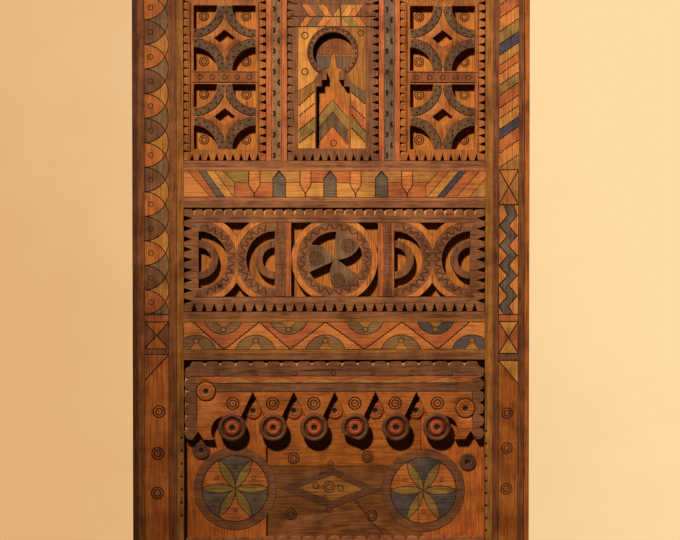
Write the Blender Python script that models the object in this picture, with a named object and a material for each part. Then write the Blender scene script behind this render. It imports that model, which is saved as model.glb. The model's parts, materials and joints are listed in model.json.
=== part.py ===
"""Carved cedar door leaf that turns on wooden pivots: a pegged frame filled with carved panels.

Metres, +Z up. The origin lies on the pivot axis, on the underside of the lower pivot block.
The carved face looks along -Y, and the leaf swings inwards, towards +Y, about the Z axis.
"""

import math

import bmesh
import bpy
from mathutils import Vector
from mathutils.geometry import delaunay_2d_cdt

# Gaps between pieces
SEAT_GAP = 0.0003
BAY_CLEARANCE = 0.001
SOCKET_CLEARANCE = 0.0006
LEAF_CLEARANCE = 0.003

# Frame of the leaf
STILE_THICKNESS = 0.045
HANGING_STILE_WIDTH = 0.122
CLOSING_STILE_WIDTH = 0.106
LEFT_BAY_WIDTH = 0.198
CENTRE_BAY_WIDTH = 0.220
RIGHT_BAY_WIDTH = 0.206
MUNTIN_WIDTH = 0.050
TOP_RAIL_HEIGHT = 0.112
UPPER_BAY_HEIGHT = 0.399
UPPER_RAIL_HEIGHT = 0.112
MIDDLE_BAY_HEIGHT = 0.250
LOWER_RAIL_HEIGHT = 0.115
LOWER_BAY_HEIGHT = 0.451
BOTTOM_RAIL_HEIGHT = 0.113
RAIL_SETBACK = 0.0015
MUNTIN_SETBACK = 0.003

# Mouldings run along the fronts of the frame
HANGING_OUTER_STRIP = 0.0135
HANGING_OUTER_BAND = 0.0150
HANGING_INNER_BAND = 0.0180
HANGING_INNER_STRIP = 0.0170
CLOSING_INNER_STRIP = 0.0170
CLOSING_INNER_BAND = 0.0150
CLOSING_OUTER_BAND = 0.0130
CLOSING_OUTER_STRIP = 0.0130
RAIL_EDGE_BAND = 0.0150
RAIL_FILLET = 0.0095
MUNTIN_STRIP = 0.0125
FIELD_SINK = 0.0015
STRIP_SINK = 0.0028

# Joinery
BOARD_THICKNESS = 0.012
GROOVE_DEPTH = 0.010
TENON_LENGTH = 0.060
TENON_HAUNCH = 0.012
PEG_DIAMETER = 0.010
PEG_SETBACK = 0.028
PEG_REACH = 0.004

# Pivots and the blocks they turn in
PIVOT_INSET = 0.030
PIVOT_DIAMETER = 0.038
LOWER_PIVOT_LENGTH = 0.023
UPPER_PIVOT_LENGTH = 0.043
LIFT_ROOM = 0.022
BLOCK_LENGTH = 0.110
BLOCK_DEPTH = 0.090
LOWER_BLOCK_HEIGHT = 0.050
SOCKET_ROOF = 0.012

# Carved overlays
OVERLAY_SETBACK = 0.006
OVERLAY_THICKNESS = 0.020
TOOTH_PITCH = 0.020
TOOTH_DEPTH = 0.0155
NOTCH_MOUTH = 0.0095

# Lattices
LATTICE_SIDE_BEAM = 0.0085
LATTICE_END_BEAM = 0.0115
LATTICE_BAR = 0.032
LATTICE_CORNER_RADIUS = 0.056
RHOMBUS_WIDTH = 0.050
RHOMBUS_HEIGHT = 0.040

# Keyhole panel
KEYHOLE_RADIUS = 0.048
KEYHOLE_RISE = 0.259
THROAT_WIDTH = 0.030
SHOULDER_WIDTH = 0.053
DOORWAY_WIDTH = 0.080
SHOULDER_TOP = 0.193
SHOULDER_BASE = 0.177
DOORWAY_SILL = 0.029

# Pinwheel panel
PANEL_TOOTH_PITCH = 0.024
PANEL_TOOTH_DEPTH = 0.0195
PANEL_NOTCH_MOUTH = 0.0125
PANEL_BEAM = 0.0155
MULLION_WIDTH = 0.040
WHEEL_BAY_WIDTH = 0.2075
WHEEL_OVERLAP = 0.00075
WHEEL_RIM_WIDTH = 0.0375
WHEEL_HUB_RADIUS = 0.007
BLADE_BULGE = 0.009
FIRST_GAP_DEGREES = 87.0
GAP_SPREAD_DEGREES = 60.0
HALF_RING_WIDTH = 0.0228
SPANDREL_EDGE = 0.016
CRESCENT_RADIUS = 0.047
CRESCENT_BORE_RADIUS = 0.029
CRESCENT_THICKNESS = 0.019

# Boss apron
SCALLOP_PITCH = 0.036
SCALLOP_DEPTH = 0.0150
SIDE_SCALLOP_PITCH = 0.029
SIDE_SCALLOP_DEPTH = 0.0125
BOSS_COUNT = 6
BOSS_PITCH = 0.0984
BOSS_DROP = 0.163
LOBE_RADIUS = 0.031
GABLE_DROP = 0.078
GABLE_FOOT_DEGREES = 50.0
LEG_DROP = 0.193
LEG_NOTCH_INSET = 0.034
LEG_NOTCH_WIDTH = 0.026
LEG_NOTCH_RISE = 0.020
SLOT_RADIUS = 0.035
SLOT_SHIFT_OUT = 0.016
SLOT_SHIFT_DOWN = 0.008

# Turned pieces
BOSS_DIAMETER = 0.068
BOSS_HEIGHT = 0.0076
BOSS_RECESS_DIAMETER = 0.0455
BOSS_FLOOR = 0.0015
CHIP_DISTANCE = 0.0245
CHIP_DEGREES = 248.0
BUTTON_DIAMETER = 0.039
BUTTON_HEIGHT = 0.0050
BUTTON_SHANK_DIAMETER = 0.016
BUTTON_DIMPLE_DIAMETER = 0.011
ROUNDEL_HEIGHT = 0.0035
ROUNDEL_SPIGOT_DIAMETER = 0.009
ROUNDEL_DIMPLE_DIAMETER = 0.009
APRON_ROUNDEL_DIAMETER = 0.044
BOARD_ROUNDEL_DIAMETER = 0.042
NOTCH_ROUNDEL_DIAMETER = 0.039
LEFT_APRON_ROUNDEL_INSET = 0.053
LEFT_APRON_ROUNDEL_DROP = 0.076
RIGHT_APRON_ROUNDEL_INSET = 0.047
RIGHT_APRON_ROUNDEL_DROP = 0.118
LEFT_BOARD_ROUNDEL_INSET = 0.040
LEFT_BOARD_ROUNDEL_DROP = 0.221
RIGHT_BOARD_ROUNDEL_INSET = 0.040
RIGHT_BOARD_ROUNDEL_DROP = 0.250
NOTCH_ROUNDEL_DROP = 0.125

# Lower boards and toe strip
LEFT_SEAM_TO_BOSS = 0.0174
RIGHT_SEAM_TO_BOSS = 0.036
CENTRE_TOP_BOARD_HEIGHT = 0.259
LEFT_SEAM = 0.0035
RIGHT_SEAM = 0.0012
BOARD_LAP = 0.006
TOE_STRIP_HEIGHT = 0.024
TOE_SCALLOP_PITCH = 0.031
TOE_SCALLOP_DEPTH = 0.011

# Filling of outlines
INSIDE_LOOPS = 1
MERGE_DISTANCE = 0.000001

# Facets of the round forms
ARC_STEPS = 7
SPANDREL_STEPS = 4
LOBE_STEPS = 9
TURNED_FACETS = 18
BUTTON_FACETS = 12
ROUNDEL_FACETS = 12
PEG_FACETS = 8
PIVOT_FACETS = 24

# Places worked out from the sizes above
leaf_left = -PIVOT_INSET
bay_left = leaf_left + HANGING_STILE_WIDTH
left_muntin_left = bay_left + LEFT_BAY_WIDTH
centre_bay_left = left_muntin_left + MUNTIN_WIDTH
right_muntin_left = centre_bay_left + CENTRE_BAY_WIDTH
right_bay_left = right_muntin_left + MUNTIN_WIDTH
bay_right = right_bay_left + RIGHT_BAY_WIDTH
bay_middle = (bay_left + bay_right) / 2
leaf_right = bay_right + CLOSING_STILE_WIDTH

leaf_bottom = LOWER_BLOCK_HEIGHT + LEAF_CLEARANCE
lower_bay_bottom = leaf_bottom + BOTTOM_RAIL_HEIGHT
lower_bay_top = lower_bay_bottom + LOWER_BAY_HEIGHT
middle_bay_bottom = lower_bay_top + LOWER_RAIL_HEIGHT
middle_bay_top = middle_bay_bottom + MIDDLE_BAY_HEIGHT
upper_bay_bottom = middle_bay_top + UPPER_RAIL_HEIGHT
upper_bay_top = upper_bay_bottom + UPPER_BAY_HEIGHT
leaf_top = upper_bay_top + TOP_RAIL_HEIGHT

stile_front = -STILE_THICKNESS / 2
stile_back = STILE_THICKNESS / 2
overlay_front = stile_front + OVERLAY_SETBACK
overlay_back = overlay_front + OVERLAY_THICKNESS
board_front = overlay_back + SEAT_GAP
board_back = board_front + BOARD_THICKNESS
groove_front = board_front - SEAT_GAP
groove_back = board_back + SEAT_GAP
groove_grip = GROOVE_DEPTH - SEAT_GAP


def clear_scene():
    for old in list(bpy.data.objects):
        bpy.data.objects.remove(old, do_unlink=True)


def wood(name, colour, roughness=0.7):
    material = bpy.data.materials.new(name)
    material.use_nodes = True
    shader = material.node_tree.nodes["Principled BSDF"]
    shader.inputs["Base Color"].default_value = (*colour, 1.0)
    shader.inputs["Roughness"].default_value = roughness
    shader.inputs["Metallic"].default_value = 0.0
    return material


def place(name, mesh, material, parent=None):
    piece = bpy.data.objects.new(name, mesh)
    mesh.materials.append(material)
    bpy.context.scene.collection.objects.link(piece)
    piece.parent = parent
    return piece


def finish_mesh(name, shape):
    bmesh.ops.recalc_face_normals(shape, faces=shape.faces)
    mesh = bpy.data.meshes.new(name)
    shape.to_mesh(mesh)
    shape.free()
    return mesh


def prism_mesh(name, outline, axis, start, end):
    """Outline extruded along one axis: (x, y) along Z, (y, z) along X or (x, z) along Y."""
    corner = {
        "X": lambda a, b: (start, a, b),
        "Y": lambda a, b: (a, start, b),
        "Z": lambda a, b: (a, b, start),
    }[axis]
    shape = bmesh.new()
    face = shape.faces.new([shape.verts.new(corner(a, b)) for a, b in outline])
    swept = bmesh.ops.extrude_face_region(shape, geom=[face])["geom"]
    travel = [end - start if axis == letter else 0.0 for letter in "XYZ"]
    moved = [item for item in swept if isinstance(item, bmesh.types.BMVert)]
    bmesh.ops.translate(shape, verts=moved, vec=travel)
    return finish_mesh(name, shape)


def prism(name, outline, axis, start, end, material, parent):
    return place(name, prism_mesh(name, outline, axis, start, end), material, parent)


def rectangle(left, right, bottom, top):
    return [(left, bottom), (right, bottom), (right, top), (left, top)]


def block(name, x_range, y_range, z_range, material, parent):
    outline = rectangle(*x_range, *z_range)
    return prism(name, outline, "Y", *y_range, material, parent)


def counterclockwise(loop):
    doubled_area = sum(a[0] * b[1] - b[0] * a[1] for a, b in zip(loop, loop[1:] + loop[:1]))
    return loop if doubled_area > 0 else loop[::-1]


def plate(name, outline, holes, front, back, material, parent):
    """Upright plate cut from an outline of (x, z) points, with holes through it."""
    corners = []
    loops = []
    for loop in [outline, *holes]:
        loops.append(range(len(corners), len(corners) + len(loop)))
        corners += [Vector(point) for point in counterclockwise(loop)]
    points, _, faces, _, _, owners = delaunay_2d_cdt(corners, [], loops, INSIDE_LOOPS, MERGE_DISTANCE)
    shape = bmesh.new()
    verts = [shape.verts.new((x, front, z)) for x, z in points]
    solid = [face for face, loops_around in zip(faces, owners) if loops_around == [0]]
    sheet = [shape.faces.new([verts[k] for k in face]) for face in solid]
    swept = bmesh.ops.extrude_face_region(shape, geom=sheet)["geom"]
    moved = [item for item in swept if isinstance(item, bmesh.types.BMVert)]
    bmesh.ops.translate(shape, verts=moved, vec=(0.0, back - front, 0.0))
    return place(name, finish_mesh(name, shape), material, parent)


def turned(name, profile, facets, x, z, seat, material, parent):
    """Turned piece whose profile of (radius, height) points stands out from y = seat towards -Y."""
    shape = bmesh.new()
    ring = [shape.verts.new((radius, 0.0, height)) for radius, height in profile]
    edges = [shape.edges.new(pair) for pair in zip(ring, ring[1:])]
    if profile[0][0] > 0.0:
        edges.append(shape.edges.new((ring[-1], ring[0])))
    bmesh.ops.spin(shape, geom=ring + edges, axis=(0, 0, 1), cent=(0, 0, 0),
                   angle=math.tau, steps=facets, use_merge=True)
    bmesh.ops.remove_doubles(shape, verts=shape.verts, dist=MERGE_DISTANCE)
    mesh = finish_mesh(name, shape)
    mesh.shade_smooth()
    mesh.set_sharp_from_angle(angle=math.radians(30))
    piece = place(name, mesh, material, parent)
    piece.rotation_euler = (math.radians(90), 0.0, 0.0)
    piece.location = (x, seat, z)
    return piece


def round_bar_mesh(name, radius, facets, start, end):
    """Round bar along one axis between two points."""
    circle = [(radius * math.cos(math.tau * k / facets), radius * math.sin(math.tau * k / facets))
              for k in range(facets)]
    along = next(k for k in range(3) if start[k] != end[k])
    across = [k for k in range(3) if k != along]
    outline = [(start[across[0]] + a, start[across[1]] + b) for a, b in circle]
    return prism_mesh(name, outline, "XYZ"[along], start[along], end[along])


def combine(target, mesh, operation):
    """Boolean of a hidden tool mesh with the target."""
    tool = bpy.data.objects.new(f"{mesh.name}_tool", mesh)
    bpy.context.scene.collection.objects.link(tool)
    tool.hide_render = True
    tool.display_type = "WIRE"
    step = target.modifiers.new(mesh.name, "BOOLEAN")
    step.operation = operation
    step.solver = "EXACT"
    step.object = tool


def box_mesh(name, x_range, y_range, z_range):
    return prism_mesh(name, rectangle(*x_range, *z_range), "Y", *y_range)


def arc(x, z, radius, start, end, steps=ARC_STEPS):
    """Points of an arc about (x, z), with angles in degrees from +X towards +Z."""
    turn = [math.radians(start + (end - start) * k / steps) for k in range(steps + 1)]
    return [(x + radius * math.cos(angle), z + radius * math.sin(angle)) for angle in turn]


def bulged(start, end, bulge, steps=4):
    """Points from start to end on a curve that stands out to the left by the bulge."""
    run_x, run_z = end[0] - start[0], end[1] - start[1]
    length = math.hypot(run_x, run_z)
    points = []
    for k in range(steps + 1):
        share = k / steps
        out = bulge * 4 * share * (1 - share) / length
        points.append((start[0] + run_x * share - run_z * out, start[1] + run_z * share + run_x * out))
    return points


def along_edge(start, end):
    """Length of an edge, and a function that gives points by distance along it and depth to its left."""
    run_x, run_z = end[0] - start[0], end[1] - start[1]
    length = math.hypot(run_x, run_z)

    def point(distance, depth):
        return (start[0] + (run_x * distance - run_z * depth) / length,
                start[1] + (run_z * distance + run_x * depth) / length)

    return length, point


def notched_edge(start, end, pitch, depth, mouth):
    """Straight edge with V notches between its teeth, up to but without its end."""
    length, point = along_edge(start, end)
    count = max(2, round(length / pitch))
    points = [point(0.0, 0.0)]
    for k in range(1, count):
        middle = length * k / count
        points += [point(middle - mouth / 2, 0.0), point(middle, depth), point(middle + mouth / 2, 0.0)]
    return points


def scalloped_edge(start, end, pitch, depth, steps=4):
    """Edge of round scallops that touch the line from start to end, up to but without its end."""
    length, point = along_edge(start, end)
    count = max(2, round(length / pitch))
    points = []
    for k in range(count * steps):
        turn = math.pi * (k % steps) / steps
        distance = length / count * (k // steps + (1 - math.cos(turn)) / 2)
        points.append(point(distance, depth * (1 - math.sin(turn))))
    return points


def toothed_outline(left, right, bottom, top, pitch, depth, mouth):
    corners = rectangle(left, right, bottom, top)
    points = []
    for start, end in zip(corners, corners[1:] + corners[:1]):
        points += notched_edge(start, end, pitch, depth, mouth)
    return points


def moulded_front(face, widths, sinks):
    """Points across a front, band by band, each band sunk behind the face by its own amount."""
    points = []
    edge = 0.0
    for width, sink in zip(widths, sinks):
        points += [(edge, face + sink), (edge + width, face + sink)]
        edge += width
    return points


def stile_profile(widths, edge, direction):
    """Cross section of a stile from its outer edge inwards, grooved along its inner edge."""
    width = sum(widths)
    sinks = [STRIP_SINK, 0.0, FIELD_SINK, 0.0, STRIP_SINK]
    points = moulded_front(stile_front, widths, sinks)
    points += [(width, groove_front), (width - GROOVE_DEPTH, groove_front),
               (width - GROOVE_DEPTH, groove_back), (width, groove_back),
               (width, stile_back), (0.0, stile_back)]
    return [(edge + direction * across, y) for across, y in points]


def peg_hole_mesh(name, x, z):
    reach = board_front - PEG_REACH
    return round_bar_mesh(name, PEG_DIAMETER / 2 + SEAT_GAP, PEG_FACETS,
                          (x, reach - SEAT_GAP, z), (x, stile_back + PEG_REACH, z))


def rail_levels():
    """Name, bottom, top and grooved edges of each rail, from the bottom up."""
    return [
        ("bottom_rail", leaf_bottom, lower_bay_bottom, (False, True)),
        ("lower_rail", lower_bay_top, middle_bay_bottom, (True, True)),
        ("upper_rail", middle_bay_top, upper_bay_bottom, (True, True)),
        ("top_rail", upper_bay_top, leaf_top, (True, False)),
    ]


def tenon_heights(bottom, top):
    return bottom + GROOVE_DEPTH + TENON_HAUNCH, top - GROOVE_DEPTH - TENON_HAUNCH


def make_stile(name, widths, edge, direction, material, parent):
    stile = prism(name, stile_profile(widths, edge, direction), "Z", leaf_bottom, leaf_top, material, parent)
    inner = edge + direction * sum(widths)
    reach = TENON_LENGTH + SEAT_GAP
    x_range = sorted((inner + direction * GROOVE_DEPTH, inner - direction * reach))
    for rail, bottom, top, _ in rail_levels():
        low, high = tenon_heights(bottom, top)
        mortise = box_mesh(f"{name}_{rail}_mortise", x_range, (groove_front, groove_back),
                           (low - SEAT_GAP, high + SEAT_GAP))
        combine(stile, mortise, "DIFFERENCE")
        hole = peg_hole_mesh(f"{name}_{rail}_hole", inner - direction * PEG_SETBACK, (bottom + top) / 2)
        combine(stile, hole, "DIFFERENCE")
    return stile


def make_hanging_stile(material, parent):
    field = (HANGING_STILE_WIDTH - HANGING_OUTER_STRIP - HANGING_OUTER_BAND
             - HANGING_INNER_BAND - HANGING_INNER_STRIP)
    widths = [HANGING_OUTER_STRIP, HANGING_OUTER_BAND, field, HANGING_INNER_BAND, HANGING_INNER_STRIP]
    stile = make_stile("hanging_stile", widths, leaf_left, 1, material, parent)
    radius = PIVOT_DIAMETER / 2
    lower = round_bar_mesh("lower_pivot", radius, PIVOT_FACETS,
                           (0, 0, leaf_bottom - LOWER_PIVOT_LENGTH), (0, 0, leaf_bottom + radius))
    upper = round_bar_mesh("upper_pivot", radius, PIVOT_FACETS,
                           (0, 0, leaf_top - radius), (0, 0, leaf_top + UPPER_PIVOT_LENGTH))
    combine(stile, lower, "UNION")
    combine(stile, upper, "UNION")


def make_closing_stile(material, parent):
    field = (CLOSING_STILE_WIDTH - CLOSING_OUTER_STRIP - CLOSING_OUTER_BAND
             - CLOSING_INNER_BAND - CLOSING_INNER_STRIP)
    widths = [CLOSING_OUTER_STRIP, CLOSING_OUTER_BAND, field, CLOSING_INNER_BAND, CLOSING_INNER_STRIP]
    make_stile("closing_stile", widths, leaf_right, -1, material, parent)


def make_rail(name, bottom, top, grooves, material, parent):
    field = top - bottom - 2 * (RAIL_EDGE_BAND + RAIL_FILLET)
    widths = [RAIL_EDGE_BAND, RAIL_FILLET, field, RAIL_FILLET, RAIL_EDGE_BAND]
    sinks = [0.0, STRIP_SINK, FIELD_SINK, STRIP_SINK, 0.0]
    front = moulded_front(stile_front + RAIL_SETBACK, widths, sinks)
    outline = [(y, bottom + up) for up, y in front]
    if grooves[1]:
        outline += [(groove_front, top), (groove_front, top - GROOVE_DEPTH),
                    (groove_back, top - GROOVE_DEPTH), (groove_back, top)]
    outline += [(stile_back, top), (stile_back, bottom)]
    if grooves[0]:
        outline += [(groove_back, bottom), (groove_back, bottom + GROOVE_DEPTH),
                    (groove_front, bottom + GROOVE_DEPTH), (groove_front, bottom)]
    rail = prism(name, outline, "X", bay_left + SEAT_GAP, bay_right - SEAT_GAP, material, parent)
    tenon = box_mesh(f"{name}_tenon", (bay_left - TENON_LENGTH, bay_right + TENON_LENGTH),
                     (board_front, board_back), tenon_heights(bottom, top))
    combine(rail, tenon, "UNION")
    for side, x in peg_places():
        combine(rail, peg_hole_mesh(f"{name}_{side}_hole", x, (bottom + top) / 2), "DIFFERENCE")


def peg_places():
    return [("left", bay_left - PEG_SETBACK), ("right", bay_right + PEG_SETBACK)]


def make_pegs(material, parent):
    number = 0
    for _, bottom, top, _ in rail_levels():
        for _, x in peg_places():
            number += 1
            z = (bottom + top) / 2
            bar = round_bar_mesh(f"peg_{number}", PEG_DIAMETER / 2, PEG_FACETS,
                                 (x, board_front - PEG_REACH, z), (x, stile_back, z))
            place(f"peg_{number}", bar, material, parent)


def make_muntin(name, left, material, parent):
    right = left + MUNTIN_WIDTH
    bottom = upper_bay_bottom + SEAT_GAP
    top = upper_bay_top - SEAT_GAP
    widths = [MUNTIN_STRIP, MUNTIN_WIDTH - 2 * MUNTIN_STRIP, MUNTIN_STRIP]
    front = moulded_front(stile_front + MUNTIN_SETBACK, widths, [0.0, FIELD_SINK, 0.0])
    outline = [(left + across, y) for across, y in front]
    outline += [(right, groove_front), (right - GROOVE_DEPTH, groove_front),
                (right - GROOVE_DEPTH, groove_back), (right, groove_back),
                (right, stile_back), (left, stile_back), (left, groove_back),
                (left + GROOVE_DEPTH, groove_back), (left + GROOVE_DEPTH, groove_front),
                (left, groove_front)]
    muntin = prism(name, outline, "Z", bottom, top, material, parent)
    tongue = box_mesh(f"{name}_tongue", (left + GROOVE_DEPTH + SEAT_GAP, right - GROOVE_DEPTH - SEAT_GAP),
                      (board_front, board_back),
                      (upper_bay_bottom - groove_grip, upper_bay_top + groove_grip))
    combine(muntin, tongue, "UNION")


def make_backboard(name, bay_x, bay_z, material, parent):
    """Board that fills a bay and grips the grooves all round it."""
    x_range = (bay_x[0] - groove_grip, bay_x[1] + groove_grip)
    z_range = (bay_z[0] - groove_grip, bay_z[1] + groove_grip)
    block(name, x_range, (board_front, board_back), z_range, material, parent)


def lattice_holes(left, right, bottom, top):
    """Quarter discs in the corners of one unit and a rhombus in its middle."""
    middle_x = (left + right) / 2
    middle_z = (bottom + top) / 2
    holes = []
    corners = rectangle(left, right, bottom, top)
    for quarter, (x, z) in enumerate(corners):
        holes.append([(x, z), *arc(x, z, LATTICE_CORNER_RADIUS, 90 * quarter, 90 * quarter + 90)])
    holes.append([(middle_x - RHOMBUS_WIDTH / 2, middle_z), (middle_x, middle_z - RHOMBUS_HEIGHT / 2),
                  (middle_x + RHOMBUS_WIDTH / 2, middle_z), (middle_x, middle_z + RHOMBUS_HEIGHT / 2)])
    return holes


def make_lattice(name, bay_start, bay_end, material, parent):
    left, right = bay_start + BAY_CLEARANCE, bay_end - BAY_CLEARANCE
    bottom, top = upper_bay_bottom + BAY_CLEARANCE, upper_bay_top - BAY_CLEARANCE
    outline = toothed_outline(left, right, bottom, top, TOOTH_PITCH, TOOTH_DEPTH, NOTCH_MOUTH)
    unit_left = left + TOOTH_DEPTH + LATTICE_SIDE_BEAM
    unit_right = right - TOOTH_DEPTH - LATTICE_SIDE_BEAM
    lowest = bottom + TOOTH_DEPTH + LATTICE_END_BEAM
    highest = top - TOOTH_DEPTH - LATTICE_END_BEAM
    unit_height = (highest - lowest - LATTICE_BAR) / 2
    holes = lattice_holes(unit_left, unit_right, lowest, lowest + unit_height)
    holes += lattice_holes(unit_left, unit_right, highest - unit_height, highest)
    plate(name, outline, holes, overlay_front, overlay_back, material, parent)


def make_keyhole_panel(material, parent):
    left, right = centre_bay_left + BAY_CLEARANCE, right_muntin_left - BAY_CLEARANCE
    bottom, top = upper_bay_bottom + BAY_CLEARANCE, upper_bay_top - BAY_CLEARANCE
    outline = toothed_outline(left, right, bottom, top, TOOTH_PITCH, TOOTH_DEPTH, NOTCH_MOUTH)
    middle = (left + right) / 2
    half_throat = THROAT_WIDTH / 2
    mouth = math.degrees(math.asin(half_throat / KEYHOLE_RADIUS))
    half = [(half_throat, bottom + SHOULDER_TOP), (SHOULDER_WIDTH / 2, bottom + SHOULDER_TOP),
            (SHOULDER_WIDTH / 2, bottom + SHOULDER_BASE), (DOORWAY_WIDTH / 2, bottom + SHOULDER_BASE),
            (DOORWAY_WIDTH / 2, bottom + DOORWAY_SILL)]
    hole = [(middle - x, z) for x, z in reversed(half)]
    hole += arc(middle, bottom + KEYHOLE_RISE, KEYHOLE_RADIUS, 270 - mouth, mouth - 90, 3 * ARC_STEPS)
    hole += [(middle + x, z) for x, z in half]
    plate("keyhole_panel", outline, [hole], overlay_front, overlay_back, material, parent)


def half_ring_holes(left, right, bottom, top):
    """Half discs at both sides of a section, and the spandrels above and below where their rings meet."""
    middle_z = (bottom + top) / 2
    half_width = (right - left) / 2
    half_height = (top - bottom) / 2
    bore = half_width - HALF_RING_WIDTH
    edge = max(half_width, half_height) + SPANDREL_EDGE
    start = math.degrees(math.asin(half_height / edge))
    end = math.degrees(math.acos(half_width / edge))
    holes = [arc(left, middle_z, bore, -90, 90, 2 * ARC_STEPS),
             arc(right, middle_z, bore, 90, 270, 2 * ARC_STEPS)]
    for sign in (1, -1):
        rise = arc(left, middle_z, edge, sign * start, sign * end, SPANDREL_STEPS)
        fall = arc(right, middle_z, edge, 180 - sign * end, 180 - sign * start, SPANDREL_STEPS)
        holes.append(rise + fall[1:])
    return holes


def wheel_holes(left, right, bottom, top):
    """Corners outside the wheel, and the three tear-shaped gaps between its blades."""
    x, z = (left + right) / 2, (bottom + top) / 2
    half_width = (right - left) / 2
    half_height = (top - bottom) / 2
    edge = max(half_width, half_height) + WHEEL_OVERLAP
    low = math.degrees(math.acos(half_width / edge))
    high = math.degrees(math.asin(half_height / edge))
    holes = []
    for start, end, corner in [(low, high, (right, top)), (180 - high, 180 - low, (left, top)),
                               (180 + low, 180 + high, (left, bottom)), (-high, -low, (right, bottom))]:
        holes.append([corner, *arc(x, z, edge, start, end)])
    for blade in range(3):
        first = FIRST_GAP_DEGREES + 120 * blade
        rim = arc(x, z, edge - WHEEL_RIM_WIDTH, first, first + GAP_SPREAD_DEGREES)
        hub = arc(x, z, WHEEL_HUB_RADIUS, first, first + GAP_SPREAD_DEGREES, 2)[1]
        holes.append(rim + bulged(rim[-1], hub, BLADE_BULGE)[1:])
    return holes


def pinwheel_sections():
    """Left, right, bottom and top of the three pierced sections, from the left."""
    border = BAY_CLEARANCE + PANEL_TOOTH_DEPTH + PANEL_BEAM
    bottom, top = middle_bay_bottom + border, middle_bay_top - border
    wheel_left = bay_middle - WHEEL_BAY_WIDTH / 2
    wheel_right = bay_middle + WHEEL_BAY_WIDTH / 2
    return [(bay_left + border, wheel_left - MULLION_WIDTH, bottom, top),
            (wheel_left, wheel_right, bottom, top),
            (wheel_right + MULLION_WIDTH, bay_right - border, bottom, top)]


def make_pinwheel_panel(material, parent):
    outline = toothed_outline(bay_left + BAY_CLEARANCE, bay_right - BAY_CLEARANCE,
                              middle_bay_bottom + BAY_CLEARANCE, middle_bay_top - BAY_CLEARANCE,
                              PANEL_TOOTH_PITCH, PANEL_TOOTH_DEPTH, PANEL_NOTCH_MOUTH)
    first, wheel, last = pinwheel_sections()
    holes = half_ring_holes(*first) + wheel_holes(*wheel) + half_ring_holes(*last)
    plate("pinwheel_panel", outline, holes, overlay_front, overlay_back, material, parent)


def make_crescents(material, parent):
    first, _, last = pinwheel_sections()
    number = 0
    for left, right, bottom, top in (first, last):
        for x, start in ((left, -90), (right, 90)):
            number += 1
            z = (bottom + top) / 2
            outer = arc(x, z, CRESCENT_RADIUS, start, start + 180, 2 * ARC_STEPS)
            inner = arc(x, z, CRESCENT_BORE_RADIUS, start + 180, start, ARC_STEPS + 3)
            seat = board_front - SEAT_GAP
            plate(f"crescent_{number}", outer + inner, [], seat - CRESCENT_THICKNESS, seat, material, parent)


def boss_places():
    """Centre of each boss, from the left."""
    first = bay_middle - (BOSS_COUNT - 1) / 2 * BOSS_PITCH
    return [(first + k * BOSS_PITCH, lower_bay_top - BOSS_DROP) for k in range(BOSS_COUNT)]


def notch_roundel_places():
    first = bay_middle - (BOSS_COUNT - 2) / 2 * BOSS_PITCH
    return [(first + k * BOSS_PITCH, lower_bay_top - NOTCH_ROUNDEL_DROP) for k in range(BOSS_COUNT - 1)]


def apron_roundel_places():
    return [(bay_left + LEFT_APRON_ROUNDEL_INSET, lower_bay_top - LEFT_APRON_ROUNDEL_DROP),
            (bay_right - RIGHT_APRON_ROUNDEL_INSET, lower_bay_top - RIGHT_APRON_ROUNDEL_DROP)]


def board_roundel_places():
    return [(bay_left + LEFT_BOARD_ROUNDEL_INSET, lower_bay_top - LEFT_BOARD_ROUNDEL_DROP),
            (bay_right - RIGHT_BOARD_ROUNDEL_INSET, lower_bay_top - RIGHT_BOARD_ROUNDEL_DROP)]


def bored(places, diameter):
    radius = diameter / 2 + SEAT_GAP
    return [arc(x, z, radius, 0, 360, ROUNDEL_FACETS)[:-1] for x, z in places]


def slot_tip_degrees():
    """Angle on the first lobe where the crescent slot beside it runs out."""
    shift = math.hypot(SLOT_SHIFT_OUT, SLOT_SHIFT_DOWN)
    along = (LOBE_RADIUS ** 2 + shift ** 2 - SLOT_RADIUS ** 2) / (2 * shift * LOBE_RADIUS)
    toward = math.degrees(math.atan2(-SLOT_SHIFT_DOWN, -SLOT_SHIFT_OUT)) % 360
    return toward - math.degrees(math.acos(along))


def left_leg(leg_bottom):
    """Bottom of the left leg with its notch, then the slot's arc up to its tip."""
    notch = bay_left + LEG_NOTCH_INSET
    boss_x, boss_z = boss_places()[0]
    slot_x, slot_z = boss_x - SLOT_SHIFT_OUT, boss_z - SLOT_SHIFT_DOWN
    tip = math.radians(slot_tip_degrees())
    tip_x, tip_z = boss_x + LOBE_RADIUS * math.cos(tip), boss_z + LOBE_RADIUS * math.sin(tip)
    start = 180 + math.degrees(math.asin((slot_z - leg_bottom) / SLOT_RADIUS))
    end = math.degrees(math.atan2(tip_z - slot_z, tip_x - slot_x))
    foot = [(notch - LEG_NOTCH_WIDTH / 2, leg_bottom), (notch, leg_bottom + LEG_NOTCH_RISE),
            (notch + LEG_NOTCH_WIDTH / 2, leg_bottom)]
    return foot + arc(slot_x, slot_z, SLOT_RADIUS, start, end)[:-1]


def apron_bottom(leg_bottom):
    """Lower edge of the apron from left to right: leg, six lobes with gables between them, leg."""
    leg = left_leg(leg_bottom)
    points = list(leg)
    bosses = boss_places()
    tip = slot_tip_degrees()
    for k, (x, z) in enumerate(bosses):
        start = tip if k == 0 else 180 - GABLE_FOOT_DEGREES
        end = 540 - tip if k == len(bosses) - 1 else 360 + GABLE_FOOT_DEGREES
        points += arc(x, z, LOBE_RADIUS, start, end, LOBE_STEPS)
        if k < len(bosses) - 1:
            points.append((x + BOSS_PITCH / 2, lower_bay_top - GABLE_DROP))
    points += [(2 * bay_middle - x, z) for x, z in reversed(leg)]
    return points


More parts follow.
